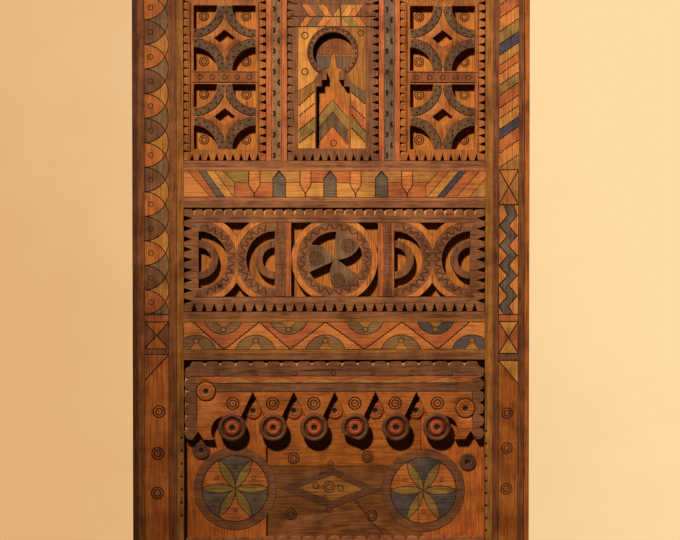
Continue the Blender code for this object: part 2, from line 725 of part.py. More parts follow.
def make_apron(material, parent):
    left, right = bay_left + BAY_CLEARANCE, bay_right - BAY_CLEARANCE
    top = lower_bay_top - BAY_CLEARANCE
    leg_bottom = lower_bay_top - LEG_DROP
    shoulder = top - SCALLOP_DEPTH
    outline = scalloped_edge((left, shoulder), (left, leg_bottom), SIDE_SCALLOP_PITCH, SIDE_SCALLOP_DEPTH)
    outline.append((left + SIDE_SCALLOP_DEPTH, leg_bottom))
    outline += apron_bottom(leg_bottom)
    outline += scalloped_edge((right, leg_bottom), (right, shoulder), SIDE_SCALLOP_PITCH, SIDE_SCALLOP_DEPTH)
    outline += scalloped_edge((right - SIDE_SCALLOP_DEPTH, top), (left + SIDE_SCALLOP_DEPTH, top),
                              SCALLOP_PITCH, SCALLOP_DEPTH)
    holes = bored(boss_places(), BUTTON_SHANK_DIAMETER)
    holes += bored(apron_roundel_places(), ROUNDEL_SPIGOT_DIAMETER)
    plate("apron", outline, holes, overlay_front, overlay_back, material, parent)


def make_toe_strip(material, parent):
    left, right = bay_left + BAY_CLEARANCE, bay_right - BAY_CLEARANCE
    bottom = lower_bay_bottom + SEAT_GAP
    top = bottom + TOE_STRIP_HEIGHT
    outline = [(left, bottom), (right, bottom)]
    outline += scalloped_edge((right, top), (left, top), TOE_SCALLOP_PITCH, TOE_SCALLOP_DEPTH)
    outline.append((left, top - TOE_SCALLOP_DEPTH))
    plate("toe_strip", outline, [], overlay_front, overlay_back, material, parent)


def within(places, left, right, bottom, top):
    return [(x, z) for x, z in places if left < x < right and bottom < z < top]


def make_board(name, left, right, bottom, top, material, parent):
    """Lower board drilled for the shanks and spigots that pin pieces to it."""
    holes = bored(within(boss_places(), left, right, bottom, top), BUTTON_SHANK_DIAMETER)
    pinned = notch_roundel_places() + board_roundel_places()
    holes += bored(within(pinned, left, right, bottom, top), ROUNDEL_SPIGOT_DIAMETER)
    return plate(name, rectangle(left, right, bottom, top), holes, board_front, board_back, material, parent)


def rebate(board, name, x_range, z_range, on_front):
    """Cuts half the thickness away, from the front or from the back."""
    halfway = (board_front + board_back) / 2
    if on_front:
        y_range = (board_front - BOARD_THICKNESS, halfway)
    else:
        y_range = (halfway - SEAT_GAP, board_back + BOARD_THICKNESS)
    combine(board, box_mesh(name, x_range, y_range, z_range), "DIFFERENCE")


def make_lower_boards(material, parent):
    """Left and right boards lap behind the two boards between them, and those lap at their own seam."""
    low, high = lower_bay_bottom - groove_grip, lower_bay_top + groove_grip
    bosses = boss_places()
    left_seam = bosses[1][0] - LEFT_SEAM_TO_BOSS
    right_seam = bosses[-1][0] - RIGHT_SEAM_TO_BOSS
    upper_seam = lower_bay_top - CENTRE_TOP_BOARD_HEIGHT
    lower_seam = upper_seam - RIGHT_SEAM
    centre_left, centre_right = left_seam + LEFT_SEAM, right_seam - RIGHT_SEAM
    left_lap, right_lap = left_seam + BOARD_LAP, right_seam - BOARD_LAP
    tall = (low - BOARD_LAP, high + BOARD_LAP)
    wide = (centre_left - BOARD_LAP, centre_right + BOARD_LAP)

    left_board = make_board("lower_left_board", bay_left - groove_grip, left_lap, low, high, material, parent)
    right_board = make_board("lower_right_board", right_lap, bay_right + groove_grip, low, high,
                             material, parent)
    top_board = make_board("lower_centre_top_board", centre_left, centre_right, upper_seam, high,
                           material, parent)
    low_board = make_board("lower_centre_board", centre_left, centre_right, low, lower_seam + BOARD_LAP,
                           material, parent)

    rebate(left_board, "left_board_lap", (left_seam, left_lap + BOARD_LAP), tall, True)
    rebate(right_board, "right_board_lap", (right_lap - BOARD_LAP, right_seam), tall, True)
    rebate(low_board, "low_board_lap", wide, (lower_seam, lower_seam + 2 * BOARD_LAP), True)
    top_cut = (lower_seam - BOARD_LAP, lower_seam + BOARD_LAP + SEAT_GAP)
    rebate(top_board, "top_board_lap", wide, top_cut, False)
    for centre_board in (top_board, low_board):
        left_cut = (left_seam - BOARD_LAP, left_lap + SEAT_GAP)
        right_cut = (right_lap - SEAT_GAP, right_seam + BOARD_LAP)
        rebate(centre_board, f"{centre_board.name}_left", left_cut, tall, False)
        rebate(centre_board, f"{centre_board.name}_right", right_cut, tall, False)


def boss_profile():
    """Section of a boss: a thick round rim round a recess whose floor has the shank's hole."""
    radius, recess = BOSS_DIAMETER / 2, BOSS_RECESS_DIAMETER / 2
    bore = BUTTON_SHANK_DIAMETER / 2 + SEAT_GAP
    rim = (radius - recess) / 2
    crown = arc(radius - rim, BOSS_HEIGHT - rim, rim, 0, 135, 3)
    return [(bore, 0.0), (radius, 0.0), *crown, (recess, BOSS_HEIGHT - rim), (recess, BOSS_FLOOR),
            (bore, BOSS_FLOOR)]


def button_profile():
    """Section of a button: a shank through boss, apron and board, and a dished head with a centre hole."""
    shank, head, dimple = BUTTON_SHANK_DIAMETER / 2, BUTTON_DIAMETER / 2, BUTTON_DIMPLE_DIAMETER / 2
    seat = BOSS_FLOOR + SEAT_GAP
    top = seat + BUTTON_HEIGHT
    foot = overlay_front - SEAT_GAP - board_back
    return [(0.0, foot), (shank, foot), (shank, seat), (head, seat), (head, top - BUTTON_HEIGHT / 4),
            (head - BUTTON_HEIGHT / 3, top), (dimple, top), (0.0, top - dimple)]


def roundel_profile(diameter, depth):
    """Section of a roundel: a spigot of the given depth and a low turned face."""
    spigot, head, dimple = ROUNDEL_SPIGOT_DIAMETER / 2, diameter / 2, ROUNDEL_DIMPLE_DIAMETER / 2
    return [(0.0, -depth), (spigot, -depth), (spigot, 0.0), (head, 0.0), (head, ROUNDEL_HEIGHT / 2),
            (head - ROUNDEL_HEIGHT / 2, ROUNDEL_HEIGHT), (dimple, ROUNDEL_HEIGHT),
            (0.0, ROUNDEL_HEIGHT - dimple)]


def make_bosses(rim_material, button_material, parent):
    seat = overlay_front - SEAT_GAP
    broken = 4
    for number, (x, z) in enumerate(boss_places(), 1):
        boss = turned(f"boss_{number}", boss_profile(), TURNED_FACETS, x, z, seat, rim_material, parent)
        if number == broken:
            chip_rim(boss, x, z, seat)
        turned(f"boss_button_{number}", button_profile(), BUTTON_FACETS, x, z, seat, button_material, parent)


def chip_rim(boss, x, z, seat):
    """Takes off the stretch of the rim that has split away along the grain."""
    turn = math.radians(CHIP_DEGREES)
    out_x, out_z = math.cos(turn), math.sin(turn)
    reach = BOSS_DIAMETER
    foot_x, foot_z = x + out_x * CHIP_DISTANCE, z + out_z * CHIP_DISTANCE
    near = [(foot_x + side * out_z * reach, foot_z - side * out_x * reach) for side in (-1, 1)]
    far = [(point_x + out_x * reach, point_z + out_z * reach) for point_x, point_z in reversed(near)]
    tool = prism_mesh("chip", near + far, "Y", seat - 2 * BOSS_HEIGHT, seat + BOSS_HEIGHT)
    combine(boss, tool, "DIFFERENCE")


def make_roundels(material, parent):
    apron_seat = overlay_front - SEAT_GAP
    board_seat = board_front - SEAT_GAP
    for side, (x, z) in zip(("left", "right"), apron_roundel_places()):
        profile = roundel_profile(APRON_ROUNDEL_DIAMETER, OVERLAY_THICKNESS)
        turned(f"apron_roundel_{side}", profile, ROUNDEL_FACETS, x, z, apron_seat, material, parent)
    for side, (x, z) in zip(("left", "right"), board_roundel_places()):
        profile = roundel_profile(BOARD_ROUNDEL_DIAMETER, BOARD_THICKNESS)
        turned(f"board_roundel_{side}", profile, ROUNDEL_FACETS, x, z, board_seat, material, parent)
    for number, (x, z) in enumerate(notch_roundel_places(), 1):
        profile = roundel_profile(NOTCH_ROUNDEL_DIAMETER, BOARD_THICKNESS)
        turned(f"notch_roundel_{number}", profile, ROUNDEL_FACETS, x, z, board_seat, material, parent)


def make_pivot_blocks(material):
    x_range = (-BLOCK_LENGTH / 2, BLOCK_LENGTH / 2)
    y_range = (-BLOCK_DEPTH / 2, BLOCK_DEPTH / 2)
    radius = PIVOT_DIAMETER / 2 + SOCKET_CLEARANCE
    lower = block("lower_pivot_block", x_range, y_range, (0.0, LOWER_BLOCK_HEIGHT), material, None)
    floor = leaf_bottom - LOWER_PIVOT_LENGTH - SEAT_GAP
    combine(lower, round_bar_mesh("lower_socket", radius, PIVOT_FACETS, (0, 0, floor), (0, 0, leaf_bottom)),
            "DIFFERENCE")
    base = leaf_top + LEAF_CLEARANCE
    roof = leaf_top + UPPER_PIVOT_LENGTH + LIFT_ROOM
    upper = block("upper_pivot_block", x_range, y_range, (base, roof + SOCKET_ROOF), material, None)
    combine(upper, round_bar_mesh("upper_socket", radius, PIVOT_FACETS, (0, 0, leaf_top), (0, 0, roof)),
            "DIFFERENCE")


def main():
    clear_scene()
    umber = wood("umber_stained_cedar", (0.150, 0.062, 0.026))
    cedar = wood("orange_cedar", (0.480, 0.145, 0.040))
    ochre = wood("ochre_backboard", (0.400, 0.150, 0.028))
    grey = wood("grey_brown_cedar", (0.142, 0.078, 0.038))
    red = wood("red_stained_cedar", (0.340, 0.070, 0.020))
    raw = wood("raw_cedar", (0.330, 0.150, 0.055), 0.8)

    leaf = bpy.data.objects.new("leaf_axis", None)
    bpy.context.scene.collection.objects.link(leaf)

    make_hanging_stile(umber, leaf)
    make_closing_stile(umber, leaf)
    for name, bottom, top, grooves in rail_levels():
        make_rail(name, bottom, top, grooves, umber, leaf)
    make_pegs(raw, leaf)
    make_muntin("left_muntin", left_muntin_left, red, leaf)
    make_muntin("right_muntin", right_muntin_left, red, leaf)

    upper_bay = (upper_bay_bottom, upper_bay_top)
    make_backboard("upper_left_backboard", (bay_left, left_muntin_left), upper_bay, ochre, leaf)
    make_backboard("upper_centre_backboard", (centre_bay_left, right_muntin_left), upper_bay, ochre, leaf)
    make_backboard("upper_right_backboard", (right_bay_left, bay_right), upper_bay, ochre, leaf)
    middle_bay = (middle_bay_bottom, middle_bay_top)
    make_backboard("middle_backboard", (bay_left, bay_right), middle_bay, ochre, leaf)
    make_lower_boards(cedar, leaf)

    make_lattice("left_lattice", bay_left, left_muntin_left, cedar, leaf)
    make_lattice("right_lattice", right_bay_left, bay_right, cedar, leaf)
    make_keyhole_panel(ochre, leaf)
    make_pinwheel_panel(umber, leaf)
    make_crescents(ochre, leaf)
    make_apron(cedar, leaf)
    make_toe_strip(umber, leaf)
    make_bosses(umber, red, leaf)
    make_roundels(grey, leaf)
    make_pivot_blocks(raw)


main()
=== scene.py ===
import json
import math

import bpy
from mathutils import Matrix, Vector


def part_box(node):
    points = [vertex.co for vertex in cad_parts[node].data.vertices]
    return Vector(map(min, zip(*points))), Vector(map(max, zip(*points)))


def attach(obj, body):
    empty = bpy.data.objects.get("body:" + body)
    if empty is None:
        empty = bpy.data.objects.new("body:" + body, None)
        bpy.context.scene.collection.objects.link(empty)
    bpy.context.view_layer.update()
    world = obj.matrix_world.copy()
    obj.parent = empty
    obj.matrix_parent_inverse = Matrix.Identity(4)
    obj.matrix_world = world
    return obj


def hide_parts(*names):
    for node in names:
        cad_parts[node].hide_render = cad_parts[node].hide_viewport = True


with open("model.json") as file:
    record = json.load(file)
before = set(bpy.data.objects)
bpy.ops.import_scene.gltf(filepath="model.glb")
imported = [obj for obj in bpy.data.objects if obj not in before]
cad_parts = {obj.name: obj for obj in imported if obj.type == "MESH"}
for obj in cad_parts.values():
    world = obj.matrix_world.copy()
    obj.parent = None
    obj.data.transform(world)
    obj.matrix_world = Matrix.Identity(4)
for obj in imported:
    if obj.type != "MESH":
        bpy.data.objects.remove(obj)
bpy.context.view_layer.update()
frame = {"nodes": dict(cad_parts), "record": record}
bpy.ops.object.select_all(action="DESELECT")

slotOf = {part["node"]: part["material_slot"] for part in frame["record"]["subparts"]}
sheet = {"unit": 0.0024, "left": -0.3492, "top": 1.4762}  # drawing units of 2.4 mm, from the top left


def markX(across):
    return sheet["left"] + sheet["unit"] * across


def markZ(down):
    return sheet["top"] - sheet["unit"] * down


def mark(across, down):
    return (markX(across), markZ(down))


def marks(*points):
    return [mark(*point) for point in points]


def sized(size, *points):  # places for a punch of that size
    return [(*mark(*point), size) for point in points]


def tone(hexCode):  # sRGB hex to linear
    parts = [int(hexCode[k:k + 2], 16) / 255 for k in (1, 3, 5)]
    return [c / 12.92 if c <= 0.04045 else ((c + 0.055) / 1.055) ** 2.4 for c in parts] + [1.0]


def addNode(tree, kind, settings, inputs):
    node = tree.nodes.new(kind)
    for key, value in settings.items():
        setattr(node, key, value)
    for key, value in inputs.items():
        if isinstance(value, bpy.types.NodeSocket):
            tree.links.new(value, node.inputs[key])
        else:
            node.inputs[key].default_value = value
    return node


woodLook = {
    "fibre": (0.0034, 0.075),    # width and length of a streak of grain
    "pore": (0.0013, 0.05357),   # fine pores, drawn coarser than real ones so that they show
    "blotch": 0.055,             # size of a blotch of grime
    "bare": (0.53, 0.67, 0.75),  # where the pigment has gone: from, to, and how far
    "grime": (0.56, 0.30, 0.55),
    "grimeTint": "#8A6A50",
    "roughness": (0.52, 0.80),
    "bumpDepth": 0.0007,
}
finishes = {  # base, shadowed grain, raised grain, bare wood where the pigment has gone
    "umber_stain": ("#805434", "#603A22", "#93663F", "#A06A40"),
    "umber_light": ("#8A5B38", "#683F24", "#9D6D46", "#A87244"),
    "stile_brown": ("#895427", "#673B19", "#9B6634", "#A26935"),
    "stile_umber": ("#7D4D2A", "#5E361B", "#8F5D36", "#9A6236"),
    "boss_umber": ("#6E472C", "#51311C", "#805638", "#8E5A34"),
    "ochre_strip": ("#9C692C", "#7A4E20", "#B07C3E", "#B0733A"),
    "tan_strip": ("#A26C44", "#7E502F", "#B47E54", "#B27845"),
    "rust_strip": ("#A5602A", "#7E451C", "#B97436", "#B06C34"),
    # The dark rust below is the colour of the left stile's outer strip, and is also painted shade in the bosses'
    # recesses, the buttons' grooves and the chip cuts on the pinwheel rings
    "dark_rust_and_shade": ("#63381C", "#4A2712", "#754627", "#84502C"),
    "orange_cedar": ("#BA6F31", "#965223", "#CB8442", "#C08041"),
    "orange_paint": ("#C47D3E", "#A1612D", "#D39250", "#C78848"),
    "red_earth": ("#B26736", "#8F4E28", "#C27A46", "#BC7842"),
    "grey_brown": ("#70553A", "#573F29", "#826647", "#916842"),
    "lattice_orange": ("#A6672F", "#824A1F", "#B87A40", "#AE733B"),
    "lattice_bar": ("#8C542B", "#6B3D1C", "#9E6538", "#9A6434"),
    "lattice_grey": ("#684C33", "#503823", "#7A5C3F", "#8A603A"),
    "blue_grey": ("#6A5B4A", "#514538", "#7B6B58", "#936C48"),
    "faded_blue": ("#7E6046", "#624832", "#907155", "#A37549"),
    "blue_indigo": ("#524A54", "#3F3944", "#615964", "#7E6048"),
    "muntin_tan": ("#906741", "#704D2E", "#A17851", "#A67746"),
    "muntin_grey": ("#76604C", "#5B4938", "#866E59", "#986F4F"),
    "blue_slate": ("#5E5450", "#49413F", "#6C625D", "#82644A"),
    "olive_earth": ("#92753A", "#755C2B", "#A58748", "#AB783C"),
    "yellow_ochre": ("#C48C43", "#A47132", "#D39D52", "#C38542"),
    "dull_ochre": ("#B87F38", "#976328", "#C89047", "#BC7E3C"),
    "grey_green": ("#8A6843", "#6C5032", "#9B7952", "#A4753F"),
    "tan_earth": ("#B17D41", "#926431", "#C08E51", "#B5773D"),
    "back_ochre": ("#AF712D", "#8A5420", "#C1843C", "#AB6A2E"),
    "apron_orange": ("#AE662A", "#8A4C1D", "#C07A38", "#B67439"),
    "board_orange": ("#B86A2A", "#94501E", "#CA7E3A", "#BE7A3C"),
    "weathered_board": ("#845325", "#653B18", "#966634", "#9A6433"),
    "board_brown": ("#A86324", "#84491A", "#BA7632", "#B57236"),
    "back_brown": ("#A46226", "#80481B", "#B67534", "#B27035"),
    # The dark below is the colour of the incised lines, dots and grounds between painted fields, and is also painted
    # shade in the board seams and in the holes of the buttons and roundels
    "incised_dark_and_shade": ("#352011", "#26150A", "#422A18", "#462B17"),
    "incised_brown": ("#5A3519", "#43260F", "#6C4323", "#704726"),
    "button_red": ("#AC582B", "#8A411E", "#C06A38", "#B8703B"),
    "chip_bare": ("#BC874F", "#9A693A", "#CC9960", "#C08A52"),
    "raw_cedar": ("#9A6B42", "#7C5433", "#AE7D51", "#A87748"),
}
woods = {}


# Cedar that was cut by hand, stained or painted with earth pigment and rubbed for generations:
# streaks of grain, blotches of grime, pigment gone from the ridges, a dull waxed sheen.
def paint(name, grain="z"):
    key = f"{name}_{grain}"
    if key in woods:
        return woods[key]
    base, dark, light, bare = (tone(code) for code in finishes[name])
    material = woods[key] = bpy.data.materials.new(key)
    material.use_nodes = True
    tree = material.node_tree
    shader = tree.nodes["Principled BSDF"]
    place = addNode(tree, "ShaderNodeTexCoord", {}, {}).outputs["Object"]
    streaks, specks = [addNode(tree, "ShaderNodeMapping", {}, {
        "Vector": place, "Scale": [1 / run if axis == grain else 1 / width for axis in "xyz"]})
        for width, run in (woodLook["fibre"], woodLook["pore"])]
    fibre = addNode(tree, "ShaderNodeTexNoise", {}, {
        "Vector": streaks.outputs[0], "Scale": 1.0, "Detail": 4.0, "Roughness": 0.62, "Distortion": 0.25})
    pore = addNode(tree, "ShaderNodeTexNoise", {}, {
        "Vector": specks.outputs[0], "Scale": 1.0, "Detail": 2.0, "Roughness": 0.7})
    stain = addNode(tree, "ShaderNodeTexNoise", {}, {
        "Vector": place, "Scale": 1 / woodLook["blotch"], "Detail": 5.0, "Roughness": 0.66})
    figure = addNode(tree, "ShaderNodeValToRGB", {}, {"Fac": fibre.outputs["Fac"]})
    stops = figure.color_ramp.elements
    stops[0].position, stops[0].color = 0.34, dark
    stops[1].position, stops[1].color = 0.68, light
    stops.new(0.50).color = base
    blotches = addNode(tree, "ShaderNodeMath", {"operation": "MULTIPLY"}, {0: stain.outputs["Fac"], 1: 0.55})
    rubbed = addNode(tree, "ShaderNodeMath", {"operation": "MULTIPLY_ADD"}, {
        0: pore.outputs["Fac"], 1: 0.45, 2: blotches.outputs[0]})
    bareMask, grimeMask = [addNode(tree, "ShaderNodeMapRange", {}, {
        "Value": value, "From Min": first, "From Max": last, "To Max": share})
        for value, (first, last, share) in ((rubbed.outputs[0], woodLook["bare"]),
                                            (stain.outputs["Fac"], woodLook["grime"]))]
    painted = addNode(tree, "ShaderNodeMix", {"data_type": "RGBA"}, {
        "Factor": bareMask.outputs[0], 6: figure.outputs[0], 7: bare})
    dirty = addNode(tree, "ShaderNodeMix", {"data_type": "RGBA", "blend_type": "MULTIPLY"}, {
        "Factor": grimeMask.outputs[0], 6: painted.outputs[2], 7: tone(woodLook["grimeTint"])})
    dull = addNode(tree, "ShaderNodeMapRange", {}, {
        "Value": fibre.outputs["Fac"], "From Min": 0.3, "From Max": 0.7, "To Min": woodLook["roughness"][0],
        "To Max": woodLook["roughness"][1]})
    height = addNode(tree, "ShaderNodeMath", {"operation": "MULTIPLY_ADD"}, {
        0: pore.outputs["Fac"], 1: 0.5, 2: fibre.outputs["Fac"]})
    ridges = addNode(tree, "ShaderNodeBump", {}, {
        "Height": height.outputs[0], "Strength": 0.45, "Distance": woodLook["bumpDepth"]})
    tree.links.new(dirty.outputs[2], shader.inputs["Base Color"])
    tree.links.new(dull.outputs[0], shader.inputs["Roughness"])
    tree.links.new(ridges.outputs[0], shader.inputs["Normal"])
    shader.inputs["IOR"].default_value = 1.5
    shader.inputs["Specular IOR Level"].default_value = 0.3
    return material


def activate(piece):
    bpy.ops.object.select_all(action="DESELECT")
    piece.select_set(True)
    bpy.context.view_layer.objects.active = piece


def newPiece(name, mesh):
    piece = bpy.data.objects.new(name, mesh)
    bpy.context.scene.collection.objects.link(piece)
    activate(piece)
    return piece


def edit(piece, *steps):  # edit-mode operators with their settings, begun on the whole mesh
    activate(piece)
    bpy.ops.object.mode_set(mode="EDIT")
    bpy.ops.mesh.select_all(action="SELECT")
    for operator, settings in steps:
        operator(**settings)
    bpy.ops.object.mode_set(mode="OBJECT")


facesOut = (bpy.ops.mesh.normals_make_consistent, {"inside": False})


def onLeaf(piece, node=None):
    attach(piece, "leaf")
    if node:
        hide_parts(node)
    return piece


wear = {"edge": 0.0009, "from": math.radians(40), "crease": math.radians(10), "weld": 0.00001}


# Copy of a node with worn edges, painted by a rule
def softened(node, materials, rule=None, cuts=(), edge=wear["edge"]):
    piece = newPiece(f"worn_{node}", frame["nodes"][node].data.copy())
    edit(piece, (bpy.ops.mesh.remove_doubles, {"threshold": wear["weld"]}),
         (bpy.ops.mesh.dissolve_limited, {"angle_limit": math.radians(1)}))
    if edge:
        bevel = piece.modifiers.new("wear", "BEVEL")
        bevel.width = edge
        bevel.segments = 2
        bevel.limit_method = "ANGLE"
        bevel.angle_limit = wear["from"]
        bpy.ops.object.modifier_apply(modifier="wear")
    for axis, limit in cuts:  # edges where the paint changes
        spot, facing = Vector(), Vector()
        spot[axis], facing[axis] = limit, 1.0
        edit(piece, (bpy.ops.mesh.bisect, {"plane_co": spot, "plane_no": facing}))
    mesh = piece.data
    mesh.materials.clear()
    for material in materials:
        mesh.materials.append(material)
    for face in mesh.polygons:
        face.material_index = rule(face.center, face.normal) if rule else 0
    bpy.ops.object.shade_smooth_by_angle(angle=wear["crease"])
    return onLeaf(piece, node)


def arcPoints(x, z, radius, start, end, steps=12):
    turns = [math.radians(start + (end - start) * k / steps) for k in range(steps + 1)]
    return [(x + radius * math.cos(turn), z + radius * math.sin(turn)) for turn in turns]


def onCircle(x, z, radius, degrees):
    return (x + radius * math.cos(math.radians(degrees)), z + radius * math.sin(math.radians(degrees)))


def slab(left, right, bottom, top):
    return [(left, bottom), (right, bottom), (right, top), (left, top)]


def anticlockwise(points):
    twice = sum(a[0] * b[1] - b[0] * a[1] for a, b in zip(points, points[1:] + points[:1]))
    return points if twice > 0 else points[::-1]


def trimmed(points, axis, limit, keepAbove):
    kept = []
    sign = 1 if keepAbove else -1
    for a, b in zip(points, points[1:] + points[:1]):
        insideA, insideB = sign * (a[axis] - limit) >= 0, sign * (b[axis] - limit) >= 0
        if insideA:
            kept.append(a)
        if insideA != insideB:
            share = (limit - a[axis]) / (b[axis] - a[axis])
            kept.append((a[0] + (b[0] - a[0]) * share, a[1] + (b[1] - a[1]) * share))
    return kept


def boxed(points, left, right, bottom, top):
    for axis, limit, above in ((0, left, True), (0, right, False), (1, bottom, True), (1, top, False)):
        points = trimmed(points, axis, limit, above)
        if len(points) < 3:
            return []
    return points


def tidied(points, least=0.0004):  # drops points that lie on top of each other
    kept = []
    for point in points:
        if not kept or math.dist(point, kept[-1]) > least:
            kept.append(point)
    if len(kept) > 1 and math.dist(kept[0], kept[-1]) <= least:
        kept.pop()
    return kept


def kerf(points, gap, sharpest=0.12):  # outline drawn in by the gap on all sides
    if not gap:
        return points
    result = []
    for before, here, after in zip(points[-1:] + points[:-1], points, points[1:] + points[:1]):
        lengthIn, lengthOut = math.dist(before, here), math.dist(here, after)
        normalIn = ((before[1] - here[1]) / lengthIn, (here[0] - before[0]) / lengthIn)
        normalOut = ((here[1] - after[1]) / lengthOut, (after[0] - here[0]) / lengthOut)
        share = max(1 + normalIn[0] * normalOut[0] + normalIn[1] * normalOut[1], sharpest)
        result.append((here[0] + gap * (normalIn[0] + normalOut[0]) / share,
                       here[1] + gap * (normalIn[1] + normalOut[1]) / share))
    return result


inlayLook = {"gap": 0.0010, "height": 0.0011, "edge": 0.0004, "sink": 0.0008}
raised = inlayLook["height"]


# Painted or carved fields: each outline, with its own gap if it has one, becomes a low plate with a softened edge
def inlay(name, level, shapes, grain, gap=inlayLook["gap"], height=raised, edge=inlayLook["edge"]):
    mesh = bpy.data.meshes.new(name)
    verts, faces, tones, used = [], [], [], []
    for finish, points, *own in shapes:
        points = tidied(points)
        if len(points) < 3:
            continue
        loop = kerf(anticlockwise(points), own[0] if own else gap)
        faces.append(range(len(verts), len(verts) + len(loop)))
        verts += [(x, level + inlayLook["sink"], z) for x, z in loop]
        if finish not in used:
            used.append(finish)
        tones.append(used.index(finish))
    mesh.from_pydata(verts, [], faces)
    for finish in used:
        mesh.materials.append(paint(finish, grain))
    for face, index in zip(mesh.polygons, tones):
        face.material_index = index
    piece = newPiece(name, mesh)
    rise = inlayLook["sink"] + height - edge
    steps = [(bpy.ops.mesh.extrude_region_move, {"TRANSFORM_OT_translate": {"value": (0, -rise, 0)}})]
    if edge:
        steps.append((bpy.ops.mesh.inset, {"thickness": edge, "depth": edge, "use_individual": True}))
    edit(piece, *steps)
    edit(piece, facesOut)
    return onLeaf(piece)


def repeated(name, stamp, places):  # one mesh with a copy of the stamp at each (x, z, size)
    verts, faces = [], []
    for x, z, size in places:
        start = len(verts)
        verts += [(x + size * v[0], size * v[1], z + size * v[2]) for v in stamp["verts"]]
        faces += [[start + k for k in face] for face in stamp["faces"]]
    mesh = bpy.data.meshes.new(name)
    mesh.from_pydata(verts, [], faces)
    return newPiece(name, mesh)


def keepStamp():
    bpy.ops.object.transform_apply(location=True, rotation=True, scale=True)
    piece = bpy.context.active_object
    stamp = {"verts": [tuple(v.co) for v in piece.data.vertices],
             "faces": [list(face.vertices) for face in piece.data.polygons]}
    bpy.data.objects.remove(piece)
    return stamp


# Punch for ring-dots, 1 m across: circles cut with a V edge, and a centre point
def ringPunch(rings, bite, pointSize):
    bpy.ops.object.select_all(action="DESELECT")
    made = []
    for radius in rings:
        bpy.ops.mesh.primitive_torus_add(major_radius=radius, minor_radius=bite, major_segments=24,
                                         minor_segments=4, rotation=(math.radians(90), 0, 0))
        made.append(bpy.context.active_object)
    bpy.ops.mesh.primitive_cone_add(vertices=8, radius1=pointSize, depth=2 * pointSize,
                                    rotation=(math.radians(-90), 0, 0))
    made.append(bpy.context.active_object)
    for piece in made:
        piece.select_set(True)
    bpy.ops.object.join()
    return keepStamp()


punches = {
    "ring": ringPunch([0.45, 0.25], 0.054, 0.10),
    "triple": ringPunch([0.46, 0.30, 0.15], 0.042, 0.06),
    "small": ringPunch([0.42], 0.075, 0.14),
}
bpy.ops.mesh.primitive_cone_add(vertices=6, radius1=0.75, depth=0.36, location=(0, 0.06, 0),
                                rotation=(math.radians(-90), 0, 0))
punches["dot"] = keepStamp()


def dotRow(points, pitch=0.0068, size=0.0044):  # punched dots along a line or a chain of lines
    dots = []
    for start, end in zip(points, points[1:]):
        count = max(2, round(math.dist(start, end) / pitch))
        for k in range(count):
            share = (k + 0.5) / count
            dots.append((start[0] + (end[0] - start[0]) * share, start[1] + (end[1] - start[1]) * share, size))
    return dots


def dotCross(left, right, top, bottom):
    return dotRow([(left, top), (right, bottom)]) + dotRow([(left, bottom), (right, top)])


chisel = {"bite": 0.6, "lift": 0.1}  # parts of a cut's width; the lift keeps its widest line off the surface


def carvingLines(name, paths, width, flat):  # chisel with a V edge drawn along each path
    curve = bpy.data.curves.new(name, "CURVE")
    curve.dimensions = "2D"
    curve.fill_mode = "NONE"
    curve.bevel_depth = chisel["bite"] * width
    curve.bevel_resolution = 0
    curve.use_fill_caps = True
    for points, closed in paths:
        spline = curve.splines.new("POLY")
        spline.points.add(len(points) - 1)
        for spot, (x, z) in zip(spline.points, points):
            spot.co = (x, z, 0, 1)
        spline.use_cyclic_u = closed
    newPiece(name, curve)
    bpy.ops.object.convert(target="MESH")
    piece = bpy.context.active_object
    for move in (Matrix.Rotation(math.radians(90), 4, "X"), Matrix.Translation((0, -chisel["lift"] * width, 0)),
                 Matrix.Diagonal((1, flat, 1, 1))):
        piece.data.transform(move)
    return piece


def strokes(points, closed, share=0.84):  # separate cuts along a zigzag
    pairs = list(zip(points, points[1:] + points[:1]))
    trim = (1 - share) / 2
    return [([(a[0] + (b[0] - a[0]) * trim, a[1] + (b[1] - a[1]) * trim),
              (b[0] - (b[0] - a[0]) * trim, b[1] - (b[1] - a[1]) * trim)], False)
            for a, b in (pairs if closed else pairs[:-1])]


def cutAway(piece, tool, materialMode="INDEX"):
    activate(piece)
    cut = piece.modifiers.new("cut", "BOOLEAN")
    cut.operation = "DIFFERENCE"
    cut.solver = "MANIFOLD"
    cut.material_mode = materialMode
    cut.object = tool
    bpy.ops.object.modifier_apply(modifier="cut")
    bpy.data.objects.remove(tool)


# Punched dots and chiselled lines, cut into a piece whose front is at the level; a punch may have its own stain
def carve(piece, level, punched=(), paths=(), width=0.0016, stain="incised_dark_and_shade", flat=1.0, clear=0.62):
    tools = []
    for kind, places, *own in punched:
        apart = []
        for x, z, size in places:  # no dot falls on another
            if all(math.hypot(x - a, z - b) > clear * (size + other) for a, b, other in apart):
                apart.append((x, z, size))
        if apart:
            tools.append((repeated("punch", punches[kind], apart), own[0] if own else "incised_dark_and_shade"))
    if paths:  # the cuts of one call stay clear of each other
        tools.append((carvingLines("chisel", paths, width, flat), stain))
    for tool, finish in tools:
        tool.data.transform(Matrix.Translation((0, level, 0)))
        tool.data.materials.clear()
        tool.data.materials.append(paint(finish))
        edit(tool, (bpy.ops.mesh.remove_doubles, {"threshold": wear["weld"] / 2}), facesOut)
        edit(piece, (bpy.ops.mesh.quads_convert_to_tris, {}))
        cutAway(piece, tool, "TRANSFER")
    activate(piece)
    bpy.ops.object.shade_smooth_by_angle(angle=wear["crease"])


def sawn(piece, boxes):  # cuts through a piece along seams, each (left, right, bottom, top)
    for left, right, bottom, top in boxes:
        bpy.ops.mesh.primitive_cube_add(size=1)
        tool = bpy.context.active_object
        tool.data.transform(Matrix.Diagonal((right - left, 0.1, top - bottom, 1)))
        tool.data.transform(Matrix.Translation(((left + right) / 2, 0, (bottom + top) / 2)))
        cutAway(piece, tool)


